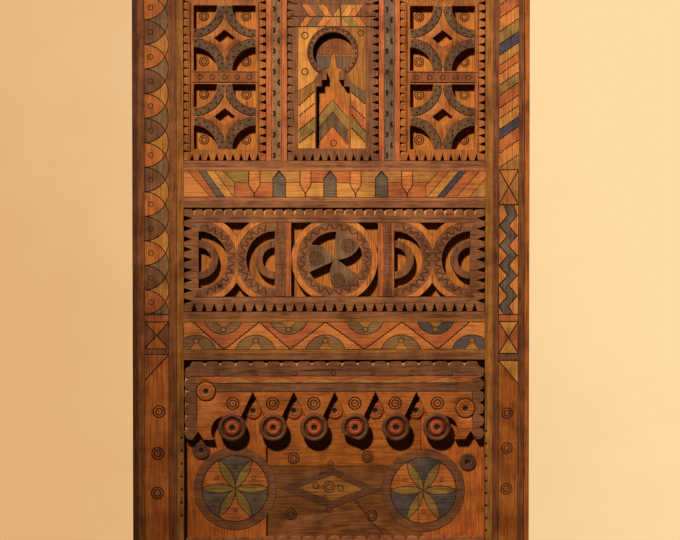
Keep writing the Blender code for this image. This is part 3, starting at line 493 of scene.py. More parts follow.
def turnedShape(name, profile, closed, segments=48):  # turned on a lathe about the line through x = z = 0
    mesh = bpy.data.meshes.new(name)
    edges = [(k, k + 1) for k in range(len(profile) - 1)]
    if closed:
        edges.append((len(profile) - 1, 0))
    mesh.from_pydata([(radius, -height, 0) for radius, height in profile], edges, [])
    piece = newPiece(name, mesh)
    edit(piece, (bpy.ops.mesh.spin, {"steps": segments, "angle": 2 * math.pi, "center": (0, 0, 0), "axis": (0, 1, 0)}))
    edit(piece, (bpy.ops.mesh.remove_doubles, {"threshold": 2 * wear["weld"]}), facesOut)
    return piece


def middleOf(node):
    low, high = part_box(node)
    return ((low.x + high.x) / 2, (low.z + high.z) / 2)


def placed(master, name, node, place, seat, materials, zones):  # copy of a turned shape in place of a node
    piece = newPiece(name, master.data.copy())
    piece.data.materials.clear()
    for material in materials:
        piece.data.materials.append(material)
    for face in piece.data.polygons:  # other finishes, each (inner radius, outer radius, which)
        radius = math.hypot(face.center.x, face.center.z)
        for inner, outer, index in zones:
            if face.center.y < 0 and inner < radius < outer:
                face.material_index = index
    piece.data.transform(Matrix.Translation((place[0], seat, place[1])))
    bpy.ops.object.shade_smooth_by_angle(angle=wear["from"])
    return onLeaf(piece, node)


notchLook = {"below": 0.0011, "fall": 0.0085, "base": 0.0125}


# Sloped beds of the notches that a knife cut between the teeth of an edge: each falls away from the
# notch's point to a valley near its upper or left side
def notchBeds(node, depth, finish, grain, side, valley=0.22):
    low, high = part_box(node)
    top, floor, base = (low.y + notchLook[key] for key in ("below", "fall", "base"))
    corners = [(v.co.x, v.co.z) for v in frame["nodes"][node].data.vertices if v.co.y < low.y + 0.0001]
    across, edge, inward = {"left": (0, low.x, 1), "top": (1, high.z, -1)}[side]
    tip = edge + inward * depth
    rim, roots = [sorted({round(c[1 - across], 5) for c in corners if abs(c[across] - line) < 0.0001})
                  for line in (edge, tip)]
    verts, faces = [], []
    for root in roots:
        before, after = [p for p in rim if p < root], [p for p in rim if p > root]
        if not before or not after or after[0] - before[-1] > 3 * depth:
            continue
        near, far = (before[-1], after[0]) if across else (after[0], before[-1])
        spots = [(tip, root, top), (edge, near, top), (edge, near + (far - near) * valley, floor), (edge, far, top),
                 (tip, root, base), (edge, near, base), (edge, far, base)]
        start = len(verts)
        verts += [(a, y, b) if across == 0 else (b, y, a) for a, b, y in spots]
        faces += [[start + k for k in face] for face in
                  ((0, 1, 2), (0, 2, 3), (1, 5, 6, 3, 2), (0, 4, 5, 1), (0, 3, 6, 4), (4, 6, 5))]
    mesh = bpy.data.meshes.new(f"{node}_notches")
    mesh.from_pydata(verts, [], faces)
    mesh.materials.append(paint(finish, grain))
    piece = newPiece(f"{node}_notches", mesh)
    edit(piece, facesOut)
    onLeaf(piece)


def bands(axis, limits, back=0):  # rule that paints the front by position across it
    def rule(centre, normal):
        if normal.y > -0.3:
            return back if normal.y > 0.3 else 0
        return next((index for index, limit in limits if centre[axis] < limit), 0)
    return rule


# Frame of the leaf
leafBottom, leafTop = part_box("bottom_rail")[0].z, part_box("top_rail")[1].z
bayLeft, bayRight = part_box("hanging_stile")[1].x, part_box("closing_stile")[0].x
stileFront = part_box("hanging_stile")[0].y
fieldLevel, stripLevel, railLevel, muntinLevel = (stileFront + depth for depth in (0.0015, 0.0028, 0.003, 0.0045))
hangingSpan = {"outer": bayLeft - 0.1085, "left": bayLeft - 0.0935, "right": bayLeft - 0.035, "strip": bayLeft - 0.017}
closingSpan = {"strip": bayRight + 0.017, "left": bayRight + 0.032, "right": bayRight + 0.080,
               "edge": bayRight + 0.093}
rail = {"beam": 0.015, "strip": 0.0095, "stripGap": 0.0003}
rail["margin"] = rail["beam"] + rail["strip"]
muntinEdge = 0.0125
dents = {"hanging_stile": (181.6, 436, 13, 7), "closing_stile": (486.6, 430, 12.5, 9), "size": 0.0072}

stilePaints = [paint(name) for name in ("rust_strip", "incised_dark_and_shade", "ochre_strip", "dark_rust_and_shade")]
stiles = {
    "hanging_stile": softened("hanging_stile", [paint("stile_brown")] + stilePaints, bands(0, [
        (4, hangingSpan["outer"]), (0, hangingSpan["left"]), (2, hangingSpan["right"]), (0, hangingSpan["strip"]),
        (3, math.inf)])),
    "closing_stile": softened("closing_stile", [paint("stile_umber")] + stilePaints, bands(0, [
        (3, closingSpan["strip"]), (0, closingSpan["left"]), (2, closingSpan["right"]), (0, closingSpan["edge"]),
        (1, math.inf)])),
}
for node, stile in stiles.items():
    across, down, pitch, count = dents[node]
    carve(stile, stripLevel, [("dot", sized(dents["size"], *((across, down + pitch * k) for k in range(count))))])
railPaints = [paint("umber_light", "x"), paint("tan_strip", "x"), paint("incised_dark_and_shade", "x")]
for node in ("top_rail", "upper_rail", "lower_rail", "bottom_rail"):
    low, high = (corner.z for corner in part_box(node))
    ground = 2 if node in ("upper_rail", "lower_rail") else 1
    softened(node, railPaints, bands(2, [(0, low + rail["beam"]), (1, low + rail["margin"]),
                                         (ground, high - rail["margin"]), (1, high - rail["beam"])]))
for node in ("left_muntin", "right_muntin"):
    left, right = (corner.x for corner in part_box(node))
    softened(node, [paint("red_earth"), paint("incised_dark_and_shade"), paint("back_brown")],
             bands(0, [(0, left + muntinEdge), (1, right - muntinEdge)], 2))
print("frame worn and painted")

# Hanging stile: overlapping half circles, then a square and a plain foot
seeds = {"first": 1.5464, "pitch": 0.0586, "rows": 14, "halfStart": 0.024, "grow": 0.0009, "ring": 0.014,
         "ringIn": 0.016}
seeds["end"] = seeds["first"] - seeds["pitch"] * seeds["rows"]
footRing = {"hanging": 0.031, "closing": 0.028}


def seedField(left, right):  # fans and lenses, and the slivers between them
    reach = right - left
    wide = reach + seeds["grow"]
    turn = math.degrees(math.acos(reach / wide))
    tip = math.degrees(math.asin(seeds["pitch"] / 2 / wide))
    shapes, slivers = [], []
    for k in range(seeds["rows"] + 1):
        here = seeds["first"] - seeds["pitch"] * k
        upper, lower = here + seeds["pitch"], here - seeds["pitch"]
        fan = (arcPoints(left, lower, reach, 77, 30) + arcPoints(left, here, reach, -25, 25, 10)
               + arcPoints(left, upper, reach, -30, -77))
        if k in (0, seeds["rows"]):  # half a fan at each end
            fan = boxed(fan, left + seeds["halfStart"], right, seeds["end"], seeds["first"])
        shapes.append(("dull_ochre" if k % 2 else "grey_green", fan))
        if k < seeds["rows"]:
            lens = arcPoints(left, lower, reach, 90, 30) + arcPoints(left, here, reach, -30, -90)
            shapes.append(("orange_cedar" if k % 2 else "umber_stain", lens))
            slivers.append(("ochre_strip", arcPoints(left, here, wide, -turn, -tip)
                            + arcPoints(left, lower, wide, tip, turn)))
    return shapes, slivers


def hourglass(left, right, top, bottom, caps, sides):
    middle = ((left + right) / 2, (top + bottom) / 2)
    return [(caps, [(left, top), middle, (right, top)]), (caps, [(left, bottom), (right, bottom), middle]),
            (sides, [(left, top), (left, bottom), middle]), (sides, [(right, top), middle, (right, bottom)])]


left, right = hangingSpan["left"], hangingSpan["right"]
squareTop, squareBottom, barBottom, wedgeBottom = (markZ(down) for down in (320, 347, 352.5, 379))
shapes, slivers = seedField(left, right)
shapes += hourglass(left, right, squareTop, squareBottom, "board_brown", "stile_umber")
shapes += [("red_earth", slab(left, right, seeds["first"], leafTop)),
           ("red_earth", slab(left, right, squareTop, seeds["end"])),
           ("umber_stain", slab(left, right, barBottom, squareBottom)),
           ("rust_strip", [(left, barBottom), (left, wedgeBottom), (right, barBottom)]),
           ("board_orange", [(left, wedgeBottom), (left, leafBottom), (right, leafBottom), (right, barBottom)])]
hangingField = inlay("hanging_stile_field", fieldLevel, shapes, "z")
inlay("hanging_stile_edge", fieldLevel, slivers, "z", gap=0.0, edge=0.0)  # too sharp for an edge
ringSpots = sized(footRing["hanging"], (159.3, 409.7), (157.8, 451.6), (157.4, 491.2))
lensRings = [(left + seeds["ringIn"], seeds["first"] - seeds["pitch"] * (k + 0.5), seeds["ring"])
             for k in range(seeds["rows"])]
dots = dotRow([(left, seeds["end"]), (right, seeds["end"])]) + dotRow([(left, squareTop), (right, squareTop)])
dots += dotRow([(left, wedgeBottom), (right, barBottom)]) + dotCross(left, right, squareTop, squareBottom)
carve(hangingField, fieldLevel - raised,
      [("ring", ringSpots, "incised_brown"), ("small", lensRings, "incised_brown"), ("dot", dots)])

# Closing stile: slanted stripes, hourglass, zigzag, square and a plain foot
left, right = closingSpan["left"], closingSpan["right"]
stripe = {"slant": 13.0, "gap": 0.0003, "topGap": 0.0004, "dotsIn": 0.002, "downs": [
    -72, -60, -48, -36, -24, -9, 4, 17, 30.3, 43, 54, 64, 73, 83.6, 94, 106.6, 117, 128, 138, 151.5, 166, 181]}
stripePaints = ["tan_earth", "orange_paint", "red_earth", "olive_earth", "orange_paint", "tan_earth", "red_earth",
                "orange_paint", "olive_earth", "blue_indigo", "tan_earth", "red_earth", "orange_paint",
                "olive_earth", "red_earth", "orange_paint", "yellow_ochre", "blue_indigo", "red_earth",
                "orange_paint", "tan_earth"]
lines = [(markZ(down), markZ(down - stripe["slant"])) for down in stripe["downs"]]
glassTop, glassBottom, zigBottom, capBottom = (markZ(down) for down in (168, 203, 313, 320))
squareBottom, barBottom, wedgeBottom = (markZ(down) for down in (352, 359, 383))
shapes = []
for (upLeft, upRight), (lowLeft, lowRight), finish in zip(lines, lines[1:], stripePaints):
    points = [(left, upLeft), (left, lowLeft), (right, lowRight), (right, upRight)]
    shapes.append((finish, boxed(points, left, right, glassTop, leafTop - stripe["topGap"]), stripe["gap"]))
shapes += hourglass(left, right, glassTop, glassBottom, "orange_paint", "tan_earth")
zigzag = {"half": 0.0112, "least": 0.002, "downs": [203, 214, 224, 234, 244, 254, 264, 274, 283.5, 294.5, 304.5, 313],
          "across": [508.7] + [512.6, 504.2] * 5 + [509]}
spine = marks(*zip(zigzag["across"], zigzag["downs"]))
leftSide, rightSide = [[(x + side * zigzag["half"], z) for x, z in spine] for side in (-1, 1)]
last = len(spine) - 1
shapes.append(("blue_grey", leftSide + rightSide[::-1]))
for k in range(0, last, 2):  # orange wedges left and right of the band
    a, b = leftSide[k], leftSide[min(k + 2, last)]
    corners = [spot for spot in (b, leftSide[k + 1], a) if spot[0] > left + zigzag["least"]]
    shapes.append(("orange_paint", [(left, a[1]), (left, b[1])] + list(dict.fromkeys(corners))))
for k in range(1, last, 2):
    a, b = rightSide[k], rightSide[min(k + 2, last)]
    shapes.append(("orange_paint", [(right, a[1]), a, rightSide[k + 1], b, (right, b[1])]))
shapes.append(("orange_paint", [(right, glassBottom), rightSide[0], rightSide[1], (right, rightSide[1][1])]))
shapes += hourglass(left, right, capBottom, squareBottom, "yellow_ochre", "red_earth")
shapes += [("red_earth", slab(left, right, capBottom, zigBottom)),
           ("umber_stain", slab(left, right, barBottom, squareBottom)),
           ("yellow_ochre", [(left, barBottom), (right, wedgeBottom), (right, barBottom)]),
           ("board_brown", [(left, barBottom), (left, leafBottom), (right, leafBottom), (right, wedgeBottom)])]
closingField = inlay("closing_stile_field", fieldLevel, shapes, "z")
dots = []
for start, end in lines:
    if glassTop < start and end < leafTop:
        dots += dotRow([(left + stripe["dotsIn"], start), (right - stripe["dotsIn"], end)])
for level in (glassTop, glassBottom, zigBottom, capBottom, squareBottom, barBottom):
    dots += dotRow([(left, level), (right, level)])
dots += dotCross(left, right, glassTop, glassBottom) + dotCross(left, right, capBottom, squareBottom)
dots += dotRow([(left, barBottom), (right, wedgeBottom)])
ringSpots = sized(footRing["closing"], (507.5, 412), (507.5, 447), (507, 488))
carve(closingField, fieldLevel - raised, [("ring", ringSpots, "incised_brown"), ("dot", dots)])
print("stile fields laid")


def railField(node, shapes, stripPaint):  # field of a rail, between two raised strips
    bottom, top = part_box(node)[0].z + rail["margin"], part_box(node)[1].z - rail["margin"]
    shapes = [(finish, boxed(points, bayLeft, bayRight, bottom, top), *own) for finish, points, *own in shapes]
    shapes += [(stripPaint, slab(bayLeft, bayRight, z, z + rail["strip"]), rail["stripGap"])
               for z in (top, bottom - rail["strip"])]
    return inlay(f"{node}_field", railLevel, shapes, "x")


# Upper rail: slanted stripes at both ends, pencils and blocks between them
upperLine, lowerLine = 169.5, 195.6
pencil = {"waist": 181, "shoulder": 177, "tip": 170.5, "downShoulder": 183.5, "downTip": 192, "half": 5.5,
          "upHalf": 6.25, "gap": 0.0005, "kerf": 0.4, "upKerf": 0.6}
pencilDots = (0.0060, 0.0038)  # pitch and size
downPencils, upPencils = [254.5, 305.5, 355.5, 407], [279.3, 330, 381.5]
endGap = 0.0006
waist, shoulder = pencil["waist"], pencil["shoulder"]
shapes, dots = [], []
for finish, leftTop, rightTop, leftLow, rightLow in [
        ("orange_paint", 160, 188.5, 160, 211), ("red_earth", 188.5, 199, 211, 217),
        ("blue_grey", 199, 206, 217, 225), ("yellow_ochre", 206, 215, 225, 234),
        ("yellow_ochre", 449, 459, 427, 437), ("blue_indigo", 459, 466.5, 437, 444),
        ("red_earth", 466.5, 479.4, 444, 456.3), ("orange_paint", 479.4, 492, 456.3, 469),
        ("tan_earth", 492, 510, 469, 510)]:
    shapes.append((finish, marks((leftTop, upperLine), (rightTop, upperLine), (rightLow, lowerLine),
                                 (leftLow, lowerLine)), endGap))
shapes.append(("tan_earth", marks((215, upperLine), (223, upperLine), (235, waist), (235, lowerLine),
                                  (234, lowerLine)), endGap))
shapes.append(("orange_paint", marks((439, upperLine), (449, upperLine), (427, lowerLine), (426, lowerLine),
                                     (426, 184)), endGap))
for finish, places, half, start, turn, tip in [
        ("orange_paint", downPencils, pencil["half"], upperLine, pencil["downShoulder"], pencil["downTip"]),
        ("blue_grey", upPencils, pencil["upHalf"], lowerLine, shoulder, pencil["tip"])]:
    for x in places:
        sides = [marks((x + side * half, start), (x + side * half, turn), (x, tip)) for side in (-1, 1)]
        shapes.append((finish, sides[0] + sides[1][1::-1], pencil["gap"]))
        for side in sides:
            dots += dotRow(side, *pencilDots)
upperPaints = ["olive_earth", "tan_earth", "tan_earth", "red_earth", "red_earth", "tan_earth", "tan_earth",
               "tan_earth"]
lowerPaints = ["red_earth", "red_earth"] + ["yellow_ochre"] * 4 + ["red_earth", "red_earth"]
for index in range(2 * len(downPencils)):  # blocks left and right of each pencil that points down
    x, side = downPencils[index // 2], 1 if index % 2 else -1
    near = x + side * pencil["half"]
    if index == 0:
        upper = [(near, upperLine), (223, upperLine), (235, waist)]
        lower = [(235, waist), (235, lowerLine)]
    elif index == 7:
        upper = [(near, upperLine), (439, upperLine), (428.6, waist)]
        lower = [(428.6, waist), (426, 184), (426, lowerLine)]
    else:
        far = upPencils[(index - 1) // 2]
        edge = far - side * pencil["upHalf"]
        upper = [(near, upperLine), (far - side * pencil["upKerf"], upperLine), (edge, shoulder), (edge, waist)]
        lower = [(edge, waist), (edge, lowerLine)]
    tip = x + side * pencil["kerf"]
    lower += [(tip, lowerLine), (tip, pencil["downTip"]), (near, pencil["downShoulder"]), (near, waist)]
    shapes += [(upperPaints[index], marks(*upper, (near, waist)), pencil["gap"]),
               (lowerPaints[index], marks(*lower), pencil["gap"])]
carve(railField("upper_rail", shapes, "tan_strip"), railLevel - raised, [("dot", dots)])

# Lower rail: zigzag with half discs on both edges, each with a wedge that ends in a round eye
upperLine, lowerLine = 320.3, 347.8
peaks, valleys = [193, 259.5, 325.5, 402, 470], [224.2, 290.2, 364.5, 437.8]
upperDiscs, lowerDiscs = [223.4, 288.7, 365.2, 435.6], [196.3, 255.7, 325.4, 401.1, 472.3]
upperDisc = {"line": upperLine, "turn": 1, "half": 18.3, "depth": 12.3, "wedge": 7.6, "ring": 7.4}
lowerDisc = {"line": lowerLine, "turn": -1, "half": 19.8, "depth": 14.4, "wedge": 7.3, "ring": 8.8}
eyeRadius, eyeRing, discGap = 3.4, 0.0130, 0.0005
zigDots = (0.0074, 0.0046)  # pitch and size
outLeft, outRight = 150, 520  # past the ends of the rail
shapes, rings, dots = [], [], []


def discArc(x, disc, steps=9):  # edge of a half disc, from its left end to its right end
    radius = (disc["half"] ** 2 + disc["depth"] ** 2) / (2 * disc["depth"])
    spread = math.asin(disc["half"] / radius)
    lift = radius - disc["depth"]
    return [(x + radius * math.sin(spread * k / steps),
             disc["line"] + disc["turn"] * (radius * math.cos(spread * k / steps) - lift))
            for k in range(-steps, steps + 1)]


def halfDisc(x, disc, finish):
    line, turn = disc["line"], disc["turn"]
    eye = [(-a, disc["ring"] + b) for a, b in arcPoints(0, 0, eyeRadius, -50, 230, 14)]
    wedge = [(x + a, line + turn * b) for a, b in ((-disc["wedge"], 0), *eye, (disc["wedge"], 0))]
    rings.extend(sized(eyeRing, (x, line + turn * disc["ring"])))
    return [(finish, marks(*discArc(x, disc), *wedge[::-1]), discGap), ("tan_earth", marks(*wedge), discGap)]


for k, x in enumerate(upperDiscs):
    shapes += halfDisc(x, upperDisc, "blue_slate" if k == 3 else "grey_green")
    shapes.append(("red_earth", marks((peaks[k], upperLine), *discArc(x, upperDisc), (peaks[k + 1], upperLine),
                                      (valleys[k], lowerLine))))
    dots += dotRow(marks((peaks[k], upperLine), (valleys[k], lowerLine), (peaks[k + 1], upperLine)), *zigDots)
ends = [outLeft] + valleys + [outRight]
for k, x in enumerate(lowerDiscs):
    shapes += halfDisc(x, lowerDisc, "blue_slate" if k == 4 else "grey_green")
    roof = [(outLeft, upperLine)] if k == 0 else []
    eave = [(outRight, upperLine)] if k == 4 else []
    shapes.append(("orange_paint", marks((ends[k], lowerLine), *roof, (peaks[k], upperLine), *eave,
                                         (ends[k + 1], lowerLine), *discArc(x, lowerDisc)[::-1])))
carve(railField("lower_rail", shapes, "ochre_strip"), railLevel - raised, [("small", rings), ("dot", dots)])
print("rail fields laid")

# Muntins: blue-grey band with gouged crescents
gouge = {"count": 16, "out": 0.0115, "radius": 0.0072, "dotOut": 0.006, "dot": 0.003, "width": 0.0054, "flat": 0.45,
         "gap": 0.0006}
bottom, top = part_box("upper_rail")[1].z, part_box("top_rail")[0].z
for node, finish in (("left_muntin", "muntin_tan"), ("right_muntin", "muntin_grey")):
    low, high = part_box(node)
    band = slab(low.x + muntinEdge, high.x - muntinEdge, bottom, top)
    field = inlay(f"{node}_band", muntinLevel, [(finish, band)], "z", gap=gouge["gap"])
    middle = (low.x + high.x) / 2
    gouges, dots = [], []
    for k in range(gouge["count"]):
        z = bottom + (top - bottom) * (k + 0.5) / gouge["count"]
        side, start = (1, 120) if k % 2 else (-1, -60)
        gouges.append((arcPoints(middle + side * gouge["out"], z, gouge["radius"], start, start + 120, 6), False))
        dots.append((middle - side * gouge["dotOut"], z, gouge["dot"]))
    carve(field, muntinLevel - raised, [("dot", dots)], gouges, gouge["width"], flat=gouge["flat"])

# Lattices: grey bands round the corner holes, red bar between the two units
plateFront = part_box("left_lattice")[0].y
lattice = {"tooth": 0.0155, "sideBeam": 0.0085, "endBeam": 0.0115, "bar": 0.032, "hole": 0.056, "band": 0.0764,
           "gap": 0.0008, "line": 0.0766, "lineTrim": 6, "eyeOut": 0.033, "eye": 0.024, "dots": 10, "dotSide": 0.0042,
           "dot": 0.0052, "barEdge": 0.004, "barLine": 0.0036, "barRings": 5, "barRing": 0.0135, "sideLine": 0.001,
           "sideLineTrim": 0.02}
for node in ("left_lattice", "right_lattice"):
    low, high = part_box(node)
    plate = softened(node, [paint("lattice_orange")])
    side, end = lattice["tooth"] + lattice["sideBeam"], lattice["tooth"] + lattice["endBeam"]
    left, right, bottom, top = low.x + side, high.x - side, low.z + end, high.z - end
    unit = (top - bottom - lattice["bar"]) / 2
    middleX, line = (left + right) / 2, lattice["line"]
    spare, spareZ = [math.degrees(math.acos(reach / line)) if line > reach else 0
                     for reach in (middleX - left, unit / 2)]
    shapes, dots, grooves, eyes = [], [], [], []
    for base in (bottom, top - unit):
        middleZ = base + unit / 2
        for quarter, (x, z) in enumerate(slab(left, right, base, base + unit)):
            start = 90 * quarter
            ring = (arcPoints(x, z, lattice["hole"], start, start + 90) +
                    arcPoints(x, z, lattice["band"], start + 90, start))
            zone = (min(x, middleX), max(x, middleX), min(z, middleZ), max(z, middleZ))
            shapes.append(("lattice_grey", boxed(ring, *zone), lattice["gap"]))
            first, last = (spareZ, spare) if quarter % 2 else (spare, spareZ)
            trim = lattice["lineTrim"]
            grooves.append((arcPoints(x, z, line, start + first + trim, start + 90 - trim - last, 14), False))
            eyes.append((*onCircle(x, z, lattice["eyeOut"], start + 45), lattice["eye"]))
            radius = (lattice["hole"] + lattice["band"]) / 2
            for k in range(lattice["dots"]):
                wide = radius + (lattice["dotSide"] if k % 2 else -lattice["dotSide"])
                dots.append((*onCircle(x, z, wide, start + 90 * (k + 0.5) / lattice["dots"]), lattice["dot"]))
    barLow, barTop = bottom + unit, top - unit
    shapes.append(("lattice_bar", slab(left, right, barLow + lattice["barEdge"], barTop - lattice["barEdge"]),
                   lattice["gap"]))
    ringBands = inlay(f"{node}_bands", plateFront, shapes, "z")
    rings = [(left + (right - left) * (k + 0.5) / lattice["barRings"], (barLow + barTop) / 2, lattice["barRing"])
             for k in range(lattice["barRings"])]
    carve(ringBands, plateFront - raised, [("small", rings, "incised_brown"), ("dot", dots)])
    inset = lattice["tooth"] + lattice["sideLine"]
    grooves += [([(x, low.z + lattice["sideLineTrim"]), (x, high.z - lattice["sideLineTrim"])], False)
                for x in (low.x + inset, high.x - inset)]
    grooves += [([(left - lattice["barEdge"], z), (right + lattice["barEdge"], z)], False)
                for z in (barLow + lattice["barLine"], barTop - lattice["barLine"])]
    carve(plate, plateFront, [], grooves)
    notchBeds(node, lattice["tooth"], "lattice_orange", "z", "left")
    board = softened(f"upper_{node.split('_')[0]}_backboard", [paint("back_ochre")], edge=0)
    carve(board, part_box("upper_left_backboard")[0].y, [("ring", eyes, "incised_brown")])
print("lattices carved")

# Keyhole panel: brown rim, chevron bands, dotted ring, slanted stripes beside the doorway
keyPlate = softened("keyhole_panel", [paint("umber_stain")])
low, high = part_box("keyhole_panel")
hole = {"x": (low.x + high.x) / 2, "z": low.z + 0.259, "ring": 0.0605, "mouth": 28, "outer": 0.0613, "inner": 0.0486,
        "dots": 0.0545, "line": 0.0589, "inside": 0.0465}
holeX, holeZ, mouth = hole["x"], hole["z"], hole["mouth"]
keyGaps = {"band": 0.0004, "field": 0.0006, "back": 0.0003}
keyWidths = {"crack": 0.0034, "lines": 0.0026, "outline": 0.0028, "rim": 0.0024}
keyRings = {"left": 0.018, "right": 0.016}
keyDots = (0.0068, 0.0050)  # pitch and size
fieldLeft, fieldRight, doorLeft, doorRight = 298, 366, 315.4, 350.6
lineTop, lineMiddle, lineLow = bandLines = [3, 15.4, 25.7]
centre, sill = 332.6, 147.3


def mirrored(points):
    return [(2 * centre - x, y) for x, y in points]


shapes = []
for line, stops, slant, leftPaints, rightPaints in [
        (lineTop, [289.4, 301.3, 308.5, 316.5, 324], 8.6, ["umber_stain", "orange_paint", "grey_green", "orange_paint"],
         ["umber_stain", "orange_paint", "yellow_ochre", "tan_earth"]),
        (lineLow, [290, 298.5, 306, 315.5, 324.6], 8.0, ["umber_stain", "orange_paint", "grey_green", "orange_paint"],
         ["rust_strip", "orange_paint", "olive_earth", "tan_earth"])]:
    for a, b, leftPaint, rightPaint in zip(stops, stops[1:], leftPaints, rightPaints):
        quad = [(a, line), (b, line), (b + slant, lineMiddle), (a + slant, lineMiddle)]
        shapes += [(leftPaint, quad), (rightPaint, mirrored(quad))]
    shapes.append(("umber_stain" if line == lineTop else "tan_earth",
                   [(stops[4], line), *mirrored([(stops[4], line)]), (centre, lineMiddle)]))
leftSlants = [(91, 79.5), (104.5, 90), (115, 101.8), (129, 115.8), (141.7, 129.7), (sill, sill)]
rightSlants = [(82, 92), (91, 102.5), (104.5, 117), (113, 130.4), (126.5, 141), (sill, sill)]
for near, far, slants, slantPaints in [
        (fieldLeft, doorLeft, leftSlants,
         ["ochre_strip", "yellow_ochre", "orange_paint", "olive_earth", "yellow_ochre"]),
        (doorRight, fieldRight, rightSlants,
         ["grey_brown", "orange_paint", "red_earth", "olive_earth", "yellow_ochre"])]:
    for (a, b), (c, d), finish in zip(slants, slants[1:], slantPaints):
        shapes.append((finish, [(near, a), (far, b), (far, d), (near, c)]))
panelLeft, panelRight = markX(fieldLeft), markX(fieldRight)
shapes = [(finish, boxed(marks(*points), panelLeft, panelRight, 0, markZ(lineTop)), keyGaps["band"])
          for finish, points in shapes]
shapes.append(("yellow_ochre", marks((fieldLeft, lineLow), (324.5, lineLow))
               + arcPoints(holeX, holeZ, hole["outer"], 106, 236, 20)
               + marks((313.5, 80.4), (fieldLeft, 90.4)), keyGaps["field"]))
shapes.append(("ochre_strip", marks((341.5, lineLow), (fieldRight, lineLow), (fieldRight, 91.4), (352, 82.6))
               + arcPoints(holeX, holeZ, hole["outer"], -56, 74, 20), keyGaps["field"]))
shapes.append(("umber_stain", arcPoints(holeX, holeZ, hole["ring"], mouth - 90, 270 - mouth, 40)
               + arcPoints(holeX, holeZ, hole["inner"], 270 - mouth, mouth - 90, 40), keyGaps["band"]))
keyField = inlay("keyhole_panel_field", plateFront, shapes, "z")
dots = []
for k in range(1, 5):
    (a, b), (c, d) = leftSlants[k], rightSlants[k]
    dots += dotRow(marks((fieldLeft + 1, a), (doorLeft - 1, b)), *keyDots)
    dots += dotRow(marks((doorRight + 1, c), (fieldRight - 1, d)), *keyDots)
dots += [(*spot, 0.0048) for spot in arcPoints(holeX, holeZ, hole["dots"], mouth - 84, 264 - mouth, 22)]
rings = sized(keyRings["left"], (305, 34.5), (305, 70.5)) + sized(keyRings["right"], (360.5, 32))
crack = [(marks((339.3, -4), (340.2, 8), (340.8, 16), (341.6, 30)), False)]
outline = [(arcPoints(holeX, holeZ, hole["line"], mouth - 87, 267 - mouth, 40), False)]
keyFront = plateFront - raised
keyLines = [markZ(down) for down in bandLines]
rimEnd = 0.004
carve(keyField, keyFront, [("small", rings, "incised_brown"), ("dot", dots)], crack, keyWidths["crack"])
carve(keyField, keyFront, [], [([(panelLeft, z), (panelRight, z)], False) for z in keyLines], keyWidths["lines"])
carve(keyField, keyFront, [], outline, keyWidths["outline"])
carve(keyPlate, plateFront, [], [([(a, z), (b, z)], False) for z in keyLines for a, b in (
    (low.x + rimEnd, panelLeft), (panelRight, high.x - rimEnd))], keyWidths["rim"])
notchBeds("keyhole_panel", lattice["tooth"], "umber_stain", "z", "left")

# Board behind the keyhole: chevrons and a ring-dot
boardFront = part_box("upper_centre_backboard")[0].y
reach, slope = 15.9, 1.21
levels = [86, 97.2, 109.8, 123.8]
shapes, dots = [], []


def chevron(level):  # its line from left to right
    return [(centre - reach, level + slope * reach), (centre, level), (centre + reach, level + slope * reach)]


for a, b, finish in zip(levels, levels[1:], ["orange_cedar", "olive_earth", "grey_brown"]):
    shapes.append((finish, marks(*chevron(a), *chevron(b)[::-1]), keyGaps["band"]))
    for end in (2, 0):
        dots += dotRow(marks(chevron(b)[1], chevron(b)[end]))
shapes.append(("orange_cedar", marks(*chevron(levels[3]), (centre + reach, sill), (centre - reach, sill)),
               keyGaps["band"]))
shapes.append(("lattice_bar", arcPoints(holeX, holeZ, hole["inside"], -4, 184, 24), keyGaps["back"]))
for finish, side, start in (("blue_grey", -1, 187), ("grey_brown", 1, 300)):
    corners = [(holeX + side * 0.008, holeZ - 0.034), (holeX + side * 0.003, holeZ - 0.0048)][::-side]
    shapes.append((finish, arcPoints(holeX, holeZ, hole["inside"], start, start + 53, 8) + corners, keyGaps["back"]))
keyBack = inlay("keyhole_backdrop", boardFront, shapes, "z")
carve(keyBack, boardFront - raised, [("ring", [(holeX - 0.002, holeZ + 0.003, 0.031)], "incised_brown"),
                                     ("small", sized(0.017, (333.7, 141)), "incised_brown"), ("dot", dots)])
print("keyhole panel carved")

# Pinwheel panel: zigzag on the rings, orange edges, blue-grey blades
low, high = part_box("pinwheel_panel")
wheel = {"x": (bayLeft + bayRight) / 2, "z": (low.z + high.z) / 2, "rim": 0.067, "edge": 0.1045, "hub": 0.007,
         "first": 87, "spread": 60, "bulge": 0.009, "ringOuter": 0.0896, "half": 0.10375, "mullion": 0.040,
         "border": 0.035, "tooth": 0.0195, "gap": 0.0005, "bladeGap": 0.0009, "eye": 0.034}
arch = {"ring": 0.0922, "edge": 0.1066, "chipIn": 0.0712, "chipOut": 0.0882, "chips": 23, "pitch": 7}
chip = {"teeth": 44, "in": 0.0715, "out": 0.0866, "width": 0.0034, "flat": 0.5}
wheelX, wheelZ = wheel["x"], wheel["z"]
bottom, top = low.z + wheel["border"], high.z - wheel["border"]
wheelLeft, wheelRight = wheelX - wheel["half"], wheelX + wheel["half"]
sections = [(low.x + wheel["border"], wheelLeft - wheel["mullion"]),
            (wheelRight + wheel["mullion"], high.x - wheel["border"])]
panel = softened("pinwheel_panel", [paint("umber_light", "x")])
shapes = []
for start in (-57, 123):  # orange edge on both sides of the wheel
    ring = (arcPoints(wheelX, wheelZ, wheel["edge"] - 0.0005, start, start + 114, 24)
            + arcPoints(wheelX, wheelZ, wheel["ringOuter"], start + 134, start - 20, 30))
    shapes.append(("orange_paint", boxed(ring, wheelLeft, wheelRight, bottom, top), wheel["gap"]))


